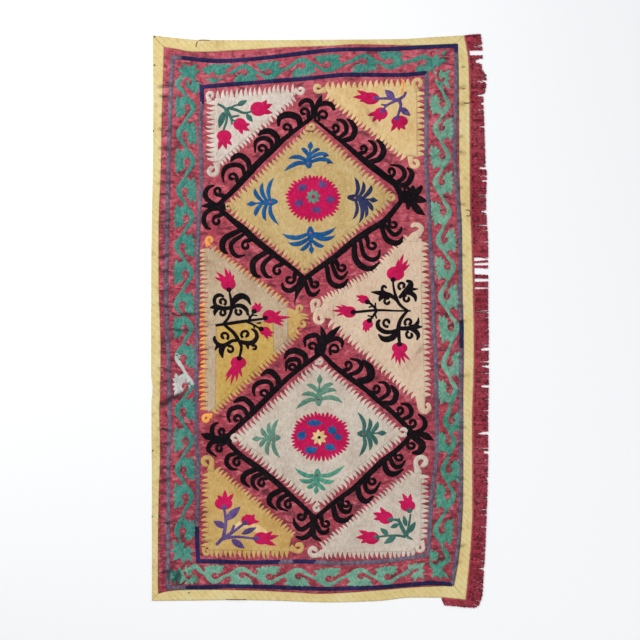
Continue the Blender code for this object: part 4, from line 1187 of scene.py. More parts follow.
# From here on a line of places is written x, y, x, y ... in chart squares.
# The two diamonds are black bars set with curls and hooks. A bar is its middle line and widths; a row under
# "set" is one cluster: the curl's middle and radius, the way it turns, then each hook's places and width.
diamonds = {
    "upperTopLeft": {"bar": [217.5, 205.6, 234.3, 189.6, 247.8, 174.5, 259.8, 161.7, 271.7, 150.6,
        283.7, 139.4, 295.7, 129.9, 311.6, 117.9],
      "widths": [4.8, 6, 7.5, 7.2, 7, 5.5, 4.6, 4.4],
      "set": [((218.3, 191.2), 4.0, -1,
          [([215.1, 204.8, 208, 200, 205.2, 194.4, 208, 188, 214.4, 185.3], 4)]),
        ((232.7, 177.3), 3.9, 1,
          [([243, 173.7, 242.3, 167.3, 235.1, 164.9, 226.3, 167.3, 222.7, 174.5, 223.9, 182.1], 3.8),
            ([248.6, 168.9, 247.8, 161, 239.9, 155.4, 233.5, 157.8, 230.7, 161.7], 4.6)]),
        ((262.2, 149), 4.2, 1,
          [([271.7, 149, 271, 141.8, 263.8, 138.2, 255.8, 141.8, 255, 153], 3.8),
            ([276.5, 145, 277.3, 137.8, 270.2, 131.5, 262.2, 132.3, 258.2, 135.8], 5)]),
        ((286.9, 127.9), 4.0, 1,
          [([298.9, 124.3, 298.1, 117.9, 288.5, 114.7, 279.7, 117.9, 278.5, 126.7], 5.4)]),
        ((304.4, 112.3), 4.2, 1,
          [([314, 109.9, 311.6, 102.8, 306, 100.4, 300.4, 103.6, 299.3, 107.1], 3.8)])]},
    "upperTopRight": {"bar": [314.3, 119.5, 331.9, 133.8, 347.8, 146.6, 360.6, 157.8, 371.7, 166.5,
        384.5, 176.1, 395.7, 184.9, 402.4, 199],
      "widths": [3.4, 3.8, 5, 6.5, 7.5, 7.5, 7, 6],
      "set": [((335.1, 128.3), 3.8, 1,
          [([342.3, 135.4, 346.2, 131.5, 345.4, 124.3, 341.5, 120.7, 335.9, 119.9], 3.8),
            ([344.6, 139.4, 351.8, 137.8, 355, 129.9, 351.8, 122.7, 347, 119.1], 4.6)]),
        ((363, 149), 3.8, 1,
          [([367.8, 156.2, 374.1, 153, 374.9, 146.6, 371.7, 142.6, 367.8, 141], 3.6),
            ([371, 160.2, 378.9, 159.4, 383.7, 151.4, 381.3, 144.2, 376.5, 139.4], 4.8)]),
        ((390.9, 172.1), 4.0, 1,
          [([395.7, 182.5, 402.8, 178.5, 404.4, 172.1, 399.6, 166.5, 390.1, 164.9], 3.8),
            ([398, 184.9, 406.8, 184.1, 411.6, 176.1, 410.8, 171.3, 406.8, 167.7], 4.6)]),
        ((406, 190), 3.2, 1, [])]},
    "upperBottomLeft": {"bar": [219.1, 208.6, 231.9, 219.7, 244.6, 230.1, 255.8, 240.4, 267.8, 250,
        279.7, 258.8, 291.7, 267.5, 303.6, 277.9],
      "widths": [5, 6, 8, 7, 7, 6, 5, 5],
      "set": [((217.1, 220.5), 4.5, 1,
          [([214.6, 208.6, 209.6, 210.1, 204.8, 214.9, 204, 222.1, 207.2, 227.7, 211.2, 228.9], 3.8)]),
        ((246.2, 245.2), 4.3, 1,
          [([239.9, 238, 231.9, 242.8, 231.9, 250.8, 237.5, 256.4, 245.4, 254.8], 3.8),
            ([238.3, 232.9, 226.3, 237.3, 222.3, 244.4, 223.9, 250.8, 227.9, 253.6], 5)]),
        ((277.7, 270.3), 4.6, 1,
          [([270.2, 258, 263.8, 263.6, 263, 269.9, 267, 276.3, 272.5, 277.5], 4),
            ([263.8, 254.8, 255, 259.6, 252.6, 266.7, 255, 274.7, 261, 277.1], 5)]),
        ((290.1, 279.1), 4.5, -1,
          [([303, 281, 296.5, 286.7, 290.1, 290.7, 283.7, 288.3, 282.1, 282.7], 4)])]},
    "upperBottomRight": {"bar": [403, 199, 385.4, 219.9, 368.8, 230.7, 352.2, 242.3, 335.6, 256.4,
        319, 268, 304.9, 278.4],
      "widths": [5, 6.5, 7, 7, 6.5, 6, 5],
      "set": [((393.2, 224), 4.0, 1,
          [([387.8, 229.8, 393.6, 234.6, 399.4, 232, 401.9, 226.5], 3.6),
            ([383.7, 229.8, 386.2, 238.9, 394.5, 243.1, 400.3, 241.4, 402.4, 236.5], 4.6)]),
        ((372.1, 244.8), 4.6, 1,
          [([362.1, 244.4, 363.8, 254.7, 371.3, 259.7, 377.9, 257.2, 380, 249.7], 3.8),
            ([356.3, 246.1, 354.7, 256.4, 360.5, 265.5, 370.4, 268.8, 379.6, 262.2], 5)]),
        ((341.8, 267.1), 4.2, 1,
          [([333.9, 266, 336.4, 275.4, 342.2, 277.9, 348, 271.3], 3.6),
            ([328.1, 270.1, 329.8, 281.2, 337.3, 286.2, 343.9, 284.6, 348, 278.7], 4.4)]),
        ((314.9, 283.7), 4.0, 1, [([304.9, 283, 309.1, 292.8, 314.9, 294.5, 319.9, 289.5], 3.8)])]},
    "lowerTopLeft": {"bar": [223.9, 439.6, 238.3, 426, 251, 414.1, 263.8, 401.3, 276.5, 388.6, 289.3,
        376.6, 302.8, 366.2, 320, 353.6],
      "widths": [5, 5.5, 6.4, 6.4, 6.4, 5.5, 5, 5],
      "set": [((222.3, 431.6), 3.6, -1,
          [([219.6, 440, 214.4, 437.2, 212, 431.6, 213.6, 425.2, 218.7, 422.4], 3.8)]),
        ((237.5, 418.9), 4.0, 1,
          [([247, 415.7, 244.6, 409.3, 238.3, 406.9, 230.3, 410.1, 228.3, 416.5, 230.3, 422.4], 3.8),
            ([251.8, 411.7, 251.8, 405.3, 244.6, 398.9, 238.3, 399.7, 233.5, 402.5], 4.6)]),
        ((263.8, 393.7), 4.0, 1,
          [([271.7, 392.5, 271, 383.8, 263.8, 381.4, 255.8, 384.6, 253.4, 390.2, 255, 396.5], 3.8),
            ([278.1, 386.2, 278.1, 379, 271.7, 372.2, 266.2, 371.8, 261, 375.8], 4.8)]),
        ((292.1, 367.8), 3.8, 1,
          [([298.9, 367.8, 298.9, 360.7, 292.5, 359.1, 286.9, 362.3, 286.1, 371.4], 3.8),
            ([305.2, 361.5, 304.4, 355.1, 295.7, 350.7, 287.7, 352.7, 284.5, 359.1], 5)]),
        ((312.4, 346.8), 4.2, 1,
          [([320.4, 345.9, 318, 336.7, 311.6, 335.5, 305.2, 339.1, 305.2, 347.1], 4)])]},
    "lowerTopRight": {"bar": [321.6, 353.2, 334.8, 366.4, 349.8, 378, 364.7, 388.8, 378.8, 401.3,
        391.2, 411.2, 406.1, 426.1, 411.9, 432.8],
      "widths": [5, 5.5, 6, 5.5, 5.5, 5.5, 5.5, 5],
      "set": [((347.7, 365.2), 4.0, 1,
          [([351.4, 373.1, 358, 371.4, 361.4, 365.6, 358, 360.6, 349.8, 358.6], 3.8),
            ([359.4, 380.5, 369.7, 378, 370.5, 369.8, 367.2, 364.8, 362.2, 360.2], 6.4)]),
        ((375.9, 388.8), 3.9, 1,
          [([381.3, 397.1, 387.1, 394.6, 388.7, 388.8, 384.6, 383, 377.9, 382.2], 3.6),
            ([382.9, 402.9, 392.9, 402.1, 396.2, 393.8, 393.7, 388.8, 390.8, 385.1], 4.6)]),
        ((399.5, 410.4), 3.6, 1,
          [([402.8, 418.7, 410.3, 415.4, 411.1, 409.6, 407, 404.6, 400.7, 403.7], 3.8)]),
        ((411.9, 423.2), 4.0, 1,
          [([415, 433, 421.4, 430.1, 425.2, 424.5, 423.5, 418.7, 417.7, 413.7], 4)])]},
    "lowerBottomLeft": {"bar": [226.4, 441.1, 241.5, 455.7, 256.4, 466.5, 270.5, 477.3, 282.9, 488,
        295.4, 499.7, 314.4, 517.2],
      "widths": [5, 6, 7, 6.5, 6, 5.5, 5],
      "set": [((219.9, 448.2), 3.7, 1, [([220, 441, 212, 442.3, 208.5, 449.9, 216.6, 456.5], 4)]),
        ((237.3, 461.9), 4.0, 1,
          [([236.5, 454, 229, 455.7, 226.5, 462.3, 230.7, 468.1, 237.7, 469.8], 3.8)]),
        ((262.2, 482.7), 4.0, 1,
          [([263, 474.4, 253.9, 477.1, 253.1, 484.7, 258.9, 490.5], 3.8),
            ([256.9, 469.5, 245.6, 473.8, 243.1, 480.8, 249.8, 487.2], 4.6)]),
        ((288.7, 504.2), 4.0, 1,
          [([288.2, 494.3, 279.6, 499.5, 279.1, 507.1, 287.9, 510.8], 3.8),
            ([281.6, 490.6, 271.3, 495.3, 269.5, 503, 277.5, 510.4], 4.6)]),
        ((301.2, 516.2), 4.0, -1,
          [([311.5, 524.8, 302, 529.2, 295.4, 524.5, 293.7, 517.9], 4),
            ([313.6, 521.4, 311.3, 532, 302.8, 538, 295.4, 536.1], 4.4)])]},
    "lowerBottomRight": {"bar": [411.9, 434.4, 397.8, 449.1, 382.9, 460.7, 368, 474.8, 353.9, 488,
        339.8, 498, 327.4, 507.9, 314.9, 518.6],
      "widths": [5, 5.5, 6.5, 6.5, 6, 5.5, 5, 5],
      "set": [((411.1, 444.9), 4.0, 1, [([413.1, 437.1, 421.9, 443.9, 419.4, 451.6, 411.9, 452.9], 6)]),
        ((399.1, 456.9), 3.8, 1,
          [([390.4, 457, 393.7, 465.7, 400.3, 466.5, 405.7, 459.9], 3.8),
            ([384.6, 462, 387.1, 471.5, 394.5, 473.9, 403.6, 469], 4.8)]),
        ((372.1, 480.6), 4.0, 1,
          [([364.7, 480.1, 366.3, 489.7, 373.8, 491.4, 380.8, 481.4], 3.8),
            ([358, 485.2, 359.7, 496.3, 366.3, 501.3, 373.8, 495.5], 4.8)]),
        ((346, 503), 4.0, 1,
          [([337.8, 501.8, 342.3, 510.4, 348.9, 511.3, 352.2, 503.8], 3.8),
            ([333.8, 505.8, 336.5, 517.9, 344.8, 520.4, 353.1, 514.6], 4.8)]),
        ((325.7, 522.9), 4.0, 1,
          [([314.6, 521.4, 319.9, 531.2, 326.5, 532, 329, 527.2], 3.8),
            ([311.4, 523.8, 313.9, 535.3, 321.2, 540.6], 4.4)])]},
}

# Black leaves at the diamonds' corners: places and widths, in chart squares.
cornerStems = [
    ([313.3, 119, 314, 114, 315.6, 108], [6, 6.6, 5.6]),
    ([315.6, 109, 319.4, 101.6, 321.8, 95], [5, 6.6, 5.6, 0.6]),
    ([315.6, 109, 319, 105, 325.4, 103.4, 331.6, 104.9, 334.4, 110.4], [4.4, 5, 5.4, 5.2, 3.4]),
    ([398, 197.4, 404, 197, 410.6, 197.4, 416, 198.4], [7, 13, 15, 9]),
    ([411, 196, 412.6, 190.4, 412.9, 185.6], [6, 6.4, 6.8, 6.2, 2.6]),
    ([414, 196, 418.6, 190.6, 422, 185.8], [6, 6.4, 6.8, 6.2, 2.6]),
    ([414, 199, 420, 199.6, 426, 201.2], [8, 8.4, 8.2, 7.4, 2.6]),
    ([408.4, 202, 408.2, 206.6, 408, 209.6], [6, 5, 3]),
    ([412.4, 203, 415.8, 207.6, 419.6, 211.6, 425, 214.8], [7, 8, 7, 1]),
    ([228, 207, 221, 206.8, 214, 206.9, 208.6, 207], [6, 8, 9, 6]),
    ([214, 206.6, 207.6, 205.6, 201.2, 206.4], [6, 5.4, 0.8]),
    ([214, 208, 210, 210.6, 205.4, 212.2], [5, 4, 0.8]),
    ([321.4, 354.6, 322.4, 349, 323, 343, 323, 339], [6, 7.6, 9, 6]),
    ([323, 341, 323.2, 333.6, 320.6, 325.6], [6, 6.6, 5.6, 0.6]),
    ([324, 342, 327.6, 338.6, 332.4, 333.4, 340.9, 325.8], [5, 6.4, 7, 0.8]),
    ([324.4, 343.6, 330, 340.4, 337.4, 338.4, 342.2, 342.4, 341.6, 347.4], [4.6, 4.8, 5, 4.4, 2]),
    ([304, 276, 302, 281, 299.4, 286.8, 297, 293, 295.4, 299], [8, 10, 9.6, 6.6, 4, 1.8]),
    ([295.6, 297, 294.9, 301, 294.7, 305.4], [1.6, 0.9]),
    ([232, 441, 224, 440, 215.4, 438, 209.4, 436.6, 206, 435.8, 200.8, 434], [6, 7.4, 6, 7.6, 7, 0.8]),
    ([405, 432.8, 411, 433, 417, 433.6, 422, 434.4, 426.6, 436.4, 433.4, 440], [6, 7, 6, 6, 8, 0.8]),
    ([312, 515, 314, 521, 315.6, 526], [7, 8, 5]),
]
cornerCurls = [((322.8, 115.4), 4.4, 190, -350), ((334.2, 349.4), 4.4, 190, -350)]


# Hooks are this much wider than the widths in the rows, and a bar's curls this much smaller than their radii.
barSet = {"hookSwell": 1.378, "curlShrink": 0.9, "level": 0.5}


def nearestOnBar(bar, point):
    # the place on the bar's middle line that lies nearest to a point
    line = smoothThrough(knotsOf(bar, np.ones(len(bar)))[None], 8)[0, :, :2]
    return line[np.argmin(np.linalg.norm(line - point, axis=1))]


def layHook(places, width, bar):
    # a hook leaves the bar, swells to its full width past its middle, and ends in a point
    foot = nearestOnBar(bar, places[0])
    places = [foot, foot * 0.45 + places[0] * 0.55, *places[1:]]
    widths = barSet["hookSwell"] * width * np.array([0.8, 0.78, 0.92, 1.0, 0.98, 0.76, 0.3])
    stroke("black", places, widths, level=barSet["level"])


def layBarCurl(middle, radius, turn, bar):
    # the curl leaves the bar beside its middle, runs all but once round and ends in a blob
    foot = nearestOnBar(bar, middle)
    toward = math.degrees(math.atan2(middle[1] - foot[1], foot[0] - middle[0]))
    angles = toward + turn * np.array([18, 58, 100, 145, 190, 232, 272, 305, 330])
    shares = barSet["curlShrink"] * np.array([1.3, 1.08, 1.0, 0.98, 0.94, 0.82, 0.6, 0.34, 0.12])
    places = np.concatenate([[foot], around(middle, angles, radius * shares)])
    widths = [6.0, 4.8, 3.8, 3.5, 3.4, 3.4, 3.5, 3.7, 4.1, 4.4]
    lay("black", knotsOf(places, widths), level=barSet["level"], perSpan=3)


def layDiamonds():
    for part in diamonds.values():
        bar = pairs(part["bar"])
        lay("black", knotsOf(bar, part["widths"]), height=1.15)
        for middle, radius, turn, hooks in part["set"]:
            layBarCurl(middle, radius, turn, bar)
            for places, width in hooks:
                layHook(pairs(places), width, bar)
    for places, widths in cornerStems:
        stroke("black", places, widths, level=barSet["level"])
    for middle, radius, start, sweep in cornerCurls:
        curl("black", middle, radius, start, sweep, 3.3, level=barSet["level"], tail=5)


# The eight fields, each a filled shape edged with teeth and curls. A patch is its two edges; a row of teeth
# is its base line's ends, the way they point, their length and pitch; a curl is its middle, radius, start and
# sweep. All are in the field's own thread, unless a row ends in its own; teeth may name one for their tips.
fields = {
    "cornerTopLeft": {"thread": "cream",
      "patches": [([213.2, 97.6, 221.4, 97, 296, 91.6], [213.4, 164, 219.4, 163, 295.4, 96])],
      "teeth": [((216, 97.9), (295, 91.4), (-0.06, -1), 6.5, 4.65),
        ((213.6, 162), (213.6, 101), (-1, 0), 6.6, 4.6),
        ((294.4, 96.4), (219, 163), (0.66, 0.75), 5.2, 4.4)],
      "curls": [((210.6, 95.8), 3.3, 205, -300), ((300.4, 90.4), 3.3, 235, 300),
        ((212.8, 170.4), 4.8, 5, -330)]},
    "cornerTopRight": {"thread": "yellow",
      "patches": [([324, 88.2, 404.6, 84.3, 418.8, 83.6], [326.6, 94.2, 405.6, 157.4, 418.8, 158])],
      "teeth": [((325, 88), (411, 84), (-0.05, -1), 4.8, 5.4),
        ((418.4, 91), (418.6, 157), (1, 0), 6.0, 5.5),
        ((405.4, 157.2), (326.8, 94.2), (-0.62, 0.78), 5.2, 4.5)],
      "curls": [((417.9, 83.8), 4.4, 200, -310), ((318.4, 88.2), 3.8, 290, -310),
        ((414.8, 162.9), 4.3, 180, 320)]},
    "cornerBottomLeft": {"thread": "ochre",
      "patches": [([206.8, 469, 214.4, 468.4, 293.6, 536.6], [206.8, 551.9, 214.4, 551.9, 291, 551.9])],
      "teeth": [((207, 473), (207, 547), (-1, 0), 5.2, 5),
        ((209.4, 551.9), (289, 551.9), (0, 1), 5.5, 4.6),
        ((216, 469.6), (293.6, 536.6), (0.65, -0.76), 4.6, 4.1)],
      "curls": [((207, 462.2), 5.2, -10, 330), ((206.6, 551.6), 2.8, 180, 300),
        ((298.2, 547), 4.4, 240, 310)]},
    "cornerBottomRight": {"thread": "oat",
      "patches": [([321, 548.6, 414.4, 471.2, 422.8, 471.2], [318.4, 553.2, 410.6, 553.2, 422.8, 546])],
      "teeth": [((422.6, 474), (422.8, 538), (1, 0), 5.4, 4.9),
        ((320, 553), (415, 553), (0, 1), 5, 4.6),
        ((413.4, 471.8), (322, 547.4), (-0.65, -0.76), 4.6, 4.1)],
      "curls": [((421.5, 462.6), 6, 195, -330), ((419.6, 547.4), 3.8, 20, -310),
        ((314, 551.2), 4.6, 290, -320)]},
    "leftSide": {"thread": "flax",
      "patches": [([206.3, 245.4, 212, 249.6, 286.4, 305.8, 290.5, 306.6],
          [206.3, 325.2, 212, 324.8, 286.4, 319.8, 290.5, 319.6]),
        ([206.3, 325.2, 214.6, 324.7], [207, 414, 214.6, 409.3]),
        ([214.6, 324.7, 275.5, 320.6], [214.6, 409.3, 275.5, 353], "gold"),
        ([275.5, 320.6, 290.5, 319.6], [275.5, 353, 290.5, 339.1]),
        ([289.6, 306, 298.5, 309.8, 304.6, 314.6], [289.6, 340.1, 298.5, 330, 304.6, 318.4], "ochre")],
      "teeth": [((206, 248), (206.2, 302), (-1, 0), 6, 4.6, "flax", "straw"),
        ((206.2, 303), (206.8, 411), (-1, 0), 6.2, 4.6, "flax", "orange"),
        ((211, 249), (287, 306), (0.6, -0.8), 4.6, 4.6, "flax", "ochre"),
        ((212, 411.6), (276, 352.4), (0.68, 0.74), 5.4, 4.4, "gold"),
        ((276, 352.4), (290.6, 339), (0.68, 0.74), 5.4, 4.4),
        ((290.8, 339), (298.6, 330), (0.7, 0.7), 5, 4.4, "ochre"),
        ((304, 313), (304, 319.4), (1, 0.1), 4.4, 6, "ochre")],
      "curls": [((209.9, 240.4), 3.2, 200, -300, "orange"), ((206.5, 418.4), 3.4, 80, 350, "orange"),
        ((300, 308.6), 2.9, 190, -290, "ochre"), ((302.4, 323.6), 3.1, 200, 290, "ochre")]},
    "rightSide": {"thread": "beige",
      "patches": [([408.4, 236, 395, 248.8, 383, 261, 370, 274, 346, 289, 321, 302, 317.4, 311, 330,
            319.4, 372, 357, 416, 396.4],
          [422.4, 236.6, 422.8, 248, 423.2, 262, 423.4, 276, 423.8, 292, 424, 304, 424, 312, 424.2,
            322, 424.8, 360, 425.4, 399])],
      "horns": [([412.6, 242, 413.6, 237.4, 418.6, 233.2, 421.4, 228.6, 418.4, 225.2, 413.4, 224.8,
            411.6, 227.6], [12, 10, 7, 5.6, 5.2, 4.6, 3.2]),
        ([420, 393, 420.6, 401, 421.4, 408.2, 425.2, 411.6, 429, 408.8, 428.4, 404.4, 425.9, 405.4],
          [11, 9, 7.4, 5.6, 4.8, 4, 3]),
        ([334, 311.4, 324, 311.8, 315, 311], [16, 12.6, 6])],
      "teeth": [((422.6, 241), (425.4, 397), (1, 0), 5.2, 5.2),
        ((408, 236.6), (370, 274), (-0.7, -0.72), 4.0, 3.7),
        ((370, 274), (322, 301), (-0.5, -0.86), 4.0, 3.7),
        ((331, 320), (416, 396), (-0.67, 0.74), 5.6, 4.9)],
      "curls": [((316.2, 304.2), 4.2, 200, -310), ((319.4, 318.4), 4.6, 160, 310)]},
    "upperDiamond": {"thread": "honey",
      "patches": [([311, 129.5, 229.4, 206.6, 305, 268.4], [311, 129.5, 390.4, 198.8, 305, 268.4])],
      "teeth": [((232.4, 203.8), (308, 132), (-0.7, -0.72), 4.6, 4.8),
        ((314, 131.4), (389, 196.2), (0.65, -0.76), 4.6, 4.8),
        ((388, 201.6), (308.4, 267.4), (0.64, 0.77), 4.6, 4.8),
        ((302, 266.6), (231.6, 209.4), (-0.62, 0.78), 4.6, 4.8)],
      "curls": [((311.4, 126.4), 3, 250, 320), ((391.4, 197), 3, 230, 310),
        ((305.2, 269.6), 3, 100, 310), ((229, 206.8), 3, 40, 320)]},
    "lowerDiamond": {"thread": "oat",
      "patches": [([319.4, 366, 238.4, 438.4, 317, 504], [319.4, 366, 399.6, 434, 317, 504])],
      "teeth": [((241, 436.4), (317, 367), (-0.68, -0.74), 5.4, 4.6),
        ((321.6, 368), (397, 432), (0.65, -0.76), 5.4, 4.6),
        ((398.4, 436), (320, 501.6), (0.67, 0.74), 5.4, 4.6),
        ((314.6, 501.8), (240.4, 440.6), (-0.64, 0.77), 5.4, 4.6)],
      "curls": [((319.8, 361.4), 2.6, 250, 320), ((402.6, 431.4), 4, 230, 310),
        ((317, 508), 3, 130, 300), ((235.4, 438.4), 3.6, 40, 310)]},
}


# Odd threads that the embroiderer ran out with: thread, places and widths.
oddThreads = [
    ("yellow", [231, 532, 244, 524, 262, 531, 268, 536], [5, 9, 8, 3]),
    ("orange", [401.6, 79, 403, 84, 402.2, 90, 400.8, 95], [1.4, 2.2, 2.2, 1.0]),
]
# How far a filled shape is drawn in towards its field's middle, and how its teeth and curls are fitted to it.
fieldEdge = {"drawnIn": 2.2, "teethIn": 1.2, "teethLonger": 1.1, "curlLevel": 0.6, "widestCurl": 5.2}


def layField(field):
    middle = np.concatenate([pairs(edge) for row in field["patches"] for edge in row[:2]]).mean(axis=0)
    for *edges, thread in withThread(field, "patches", 2):
        away = [pairs(edge) - middle for edge in edges]
        patch(thread, *[middle + way - fieldEdge["drawnIn"] * unit(way) for way in away])
    for first, last, outward, length, pitch, *threads in withThread(field, "teeth", 5):
        outward = unit(np.array(outward, float))
        inward = -fieldEdge["teethIn"] * outward
        teeth(first + inward, last + inward, outward, length + fieldEdge["teethLonger"], pitch, *threads)
    for places, widths in field.get("horns", ()):
        stroke(field["thread"], places, widths, level=fieldEdge["curlLevel"])
    for middle, radius, start, sweep, thread in withThread(field, "curls", 4):
        wide = min(fieldEdge["widestCurl"], 0.8 * radius + 1.1)
        curl(thread, middle, 0.98 * radius, start, 0.84 * sweep, wide, level=fieldEdge["curlLevel"],
             tail=1.6 * radius, tailWidth=1.6 * wide)


def withThread(field, kind, count):
    # the rows of one kind, each with the field's thread put on where it names none of its own
    return [row if len(row) > count else (*row, field["thread"]) for row in field[kind]]


# A rosette is a round of pointed threads about a disc, with an eight-point star and flecks on it.
rosettes = {
    "upper": {"middle": (313.4, 198.3), "outer": (27.6, 23.8), "body": (24.4, 20.8), "points": 40,
      "star": ((313.2, 196.8), 7.6, "sage"), "eye": ("magenta", 2.0),
      "flecks": [("violet", (302.4, 187.7), 7.4, 6.4, 40), ("violet", (322.3, 184.5), 7, 6, -50),
        ("violet", (330.3, 199.6), 7, 6.4, 10), ("violet", (316.5, 210), 7.4, 6, -10),
        ("violet", (298.9, 203.2), 7, 6.4, 60)]},
    "lower": {"middle": (320.5, 436.2), "outer": (29.8, 24.8), "body": (26.2, 21.4), "points": 43,
      "star": ((319.2, 437.3), 8.2, "yellow"), "eye": ("black", 1.6),
      "flecks": [("blue", (314.1, 422.8), 12, 6, -8), ("blue", (332.3, 430.3), 8, 7.4, -40),
        ("blue", (337.8, 437), 6, 6, 0), ("blue", (301.7, 435.3), 8, 7.6, 60),
        ("blue", (310.8, 449.9), 10, 7, 24), ("blue", (329.9, 447), 9, 6.4, -30)]},
}


def layRosette(part):
    # points at angles 360 i / n from the body's rim to the outer rim, each a little off its place
    count = part["points"]
    rng = np.random.default_rng(count)
    layDisc("magenta", part["middle"], part["body"], 1.4, 0.75)
    turns = (np.arange(count) + rng.uniform(-0.12, 0.12, count)) * 360 / count
    inner = around(part["middle"], turns, *0.9 * np.array(part["body"]))
    strayed = rng.uniform(0.94, 1.04, count)
    outer = around(part["middle"], turns, part["outer"][0] * strayed, part["outer"][1] * strayed)
    share = np.array([0, 0.3, 0.65, 1.0])[:, None]
    spine = inner[:, None] * (1 - share) + outer[:, None] * share
    pitch = 2 * math.pi * part["outer"][1] / count
    widths = np.broadcast_to(pitch * np.array([1.02, 0.96, 0.74, 0.3]), (count, 4))
    lay("magenta", knotsOf(spine, widths), 1.4, 0.9, 2, fine=True)
    starMiddle, reach, thread = part["star"]
    for i in range(8):
        leaf(thread, starMiddle, around(starMiddle, 45 * i + 8, reach), 4.6, level=3, height=0.6)
    layDisc(thread, starMiddle, (reach * 0.52, reach * 0.5), 3, 0.7)
    eyeThread, eyeRadius = part["eye"]
    layDisc(eyeThread, starMiddle, (eyeRadius, eyeRadius), 4.2, 0.7)
    for thread, place, long, wide, degrees in part["flecks"]:
        layDisc(thread, place, (0.52 * long, 0.5 * wide), 3, 0.7)
        for turn, reach in ((0, 0.76), (68, 0.58), (124, 0.66), (180, 0.7), (236, 0.6), (304, 0.64)):
            tip = around(place, degrees + turn, long * reach, wide * reach)
            leaf(thread, place, tip, 0.5 * wide, level=3, height=0.7, blunt=0.3)


# A palmette is a hub on a short foot, a long bud straight ahead and curved leaves on both sides.
palmettes = [
    {"thread": "blue", "foot": (309.2, 168.5), "hub": (308.6, 163.7), "bud": (310.9, 141.4),
      "darkTips": [[(315.4, 151.4), (320, 149.4)], [(323.4, 156.6), (329, 155.6)],
        [(327, 162.6), (333.4, 163.4)]],
      "leaves": [((301.2, 148.6), 4.2), ((320.2, 149.2), 3.4), ((288.4, 159), 4.2),
        ((329.2, 155.6), 3.8), ((284.2, 171.2), 4.4), ((333.4, 163.4), 4.2)]},
    {"thread": "blue", "foot": (277.6, 201.6), "hub": (270.6, 202), "bud": (246.6, 204.4),
      "leaves": [((255.2, 188.2), 4.2), ((263, 182.4), 4.2), ((273.8, 177.6), 4),
        ((255.8, 216.4), 4.4), ((266.2, 221), 4.2), ((278.7, 224.9), 4)]},
    {"thread": "blue", "foot": (310.4, 226.6), "hub": (310.4, 232.9), "bud": (311.6, 254),
      "leaves": [((282, 233.8), 4.6), ((288, 242.6), 4.6), ((299.8, 249.8), 4.2), ((336, 227.4), 4.4),
        ((335.4, 235.4), 4.4), ((324.4, 245.8), 4.2)]},
    {"thread": "inkBlue", "foot": (347.4, 197.2), "hub": (355, 198), "bud": (377.8, 200.6),
      "leaves": [((354.4, 176.9), 4), ((362.8, 181.3), 4), ((371, 185), 4.4), ((372, 211.4), 4.4),
        ((365.2, 217.9), 4), ((358.8, 223), 3.8), ((352.6, 219.6), 3.4)]},
    {"thread": "sage", "foot": (318.7, 406), "hub": (318.7, 399.6), "bud": (319.9, 374.2),
      "leaves": [((306.8, 385), 4.2), ((333.6, 384.3), 4.2), ((301.4, 395.2), 4.4),
        ((336.6, 391), 4.4), ((296, 408.7), 4.4), ((342.4, 402.7), 4.4)]},
    {"thread": "sage", "foot": (280.4, 437.6), "hub": (274.1, 437.6), "bud": (252, 438.9),
      "leaves": [((262.2, 427.6), 4.4), ((270, 422.2), 4.2), ((278.5, 419.1), 4),
        ((260.6, 447.4), 4.4), ((268.8, 455.6), 4.2), ((280, 457.6), 4)]},
    {"thread": "deepTeal", "foot": (357.4, 433.6), "hub": (363.4, 433.6), "bud": (386.8, 432.8),
      "leaves": [((357.4, 411.9), 4), ((369, 418.1), 4.2), ((377.3, 421.3), 4.4),
        ((376.1, 445.3), 4.4), ((369.2, 450.4), 4.2), ((359.1, 456.3), 4)]},
    {"thread": "seaGreen", "foot": (317.4, 469), "hub": (317.4, 475.2), "bud": (315.8, 494),
      "leaves": [((294.9, 467.7), 4.2), ((344.4, 465.3), 4.2), ((299.1, 479.1), 4.4),
        ((334.4, 480.4), 4.4), ((306.4, 486.9), 4.2), ((326, 489), 4.2)]},
]


def layPalmette(part):
    # a leaf's root lies at the hub, pushed along the bud; it bows so that its tip turns back to the foot
    thread = part["thread"]
    foot, hub, bud = (np.array(part[key]) for key in ("foot", "hub", "bud"))
    ahead = unit(bud - foot)
    side = np.array([-ahead[1], ahead[0]])
    stroke(thread, [foot, (foot + hub) / 2, hub, hub + ahead * 9], [3.0, 6.4, 7.4, 4.6], level=1.4)
    budPlaces = hub + (bud - hub) * np.array([[0], [0.4], [0.62], [0.8], [1.0]])
    stroke(thread, budPlaces, [4, 2.4, 2.2, 5.8, 0.4], level=1.4)
    for tip, width in part["leaves"]:
        out, up = np.dot(tip - hub, side), np.dot(tip - hub, ahead)
        low = max(0.0, 0.52 * up)
        start = hub + side * math.copysign(0.4, out) + ahead * low
        bend = hub + side * out * 0.42 + ahead * (low + 0.4 * (up - low) + 0.15 * abs(out))
        near = hub + side * out * 0.76 + ahead * (low + 0.78 * (up - low) + 0.12 * abs(out))
        widths = [0.66 * width, 1.06 * width, 1.2 * width, 0.82 * width, 0.3]
        stroke(thread, [start, bend, near, tip], widths, level=1.4)
    for places in part.get("darkTips", ()):
        stroke("inkBlue", places, [2.4, 2.8, 0.4], level=2.4, height=0.6)
    layDisc("crimson", hub, (1.2, 1.1), 2.8, 0.7)


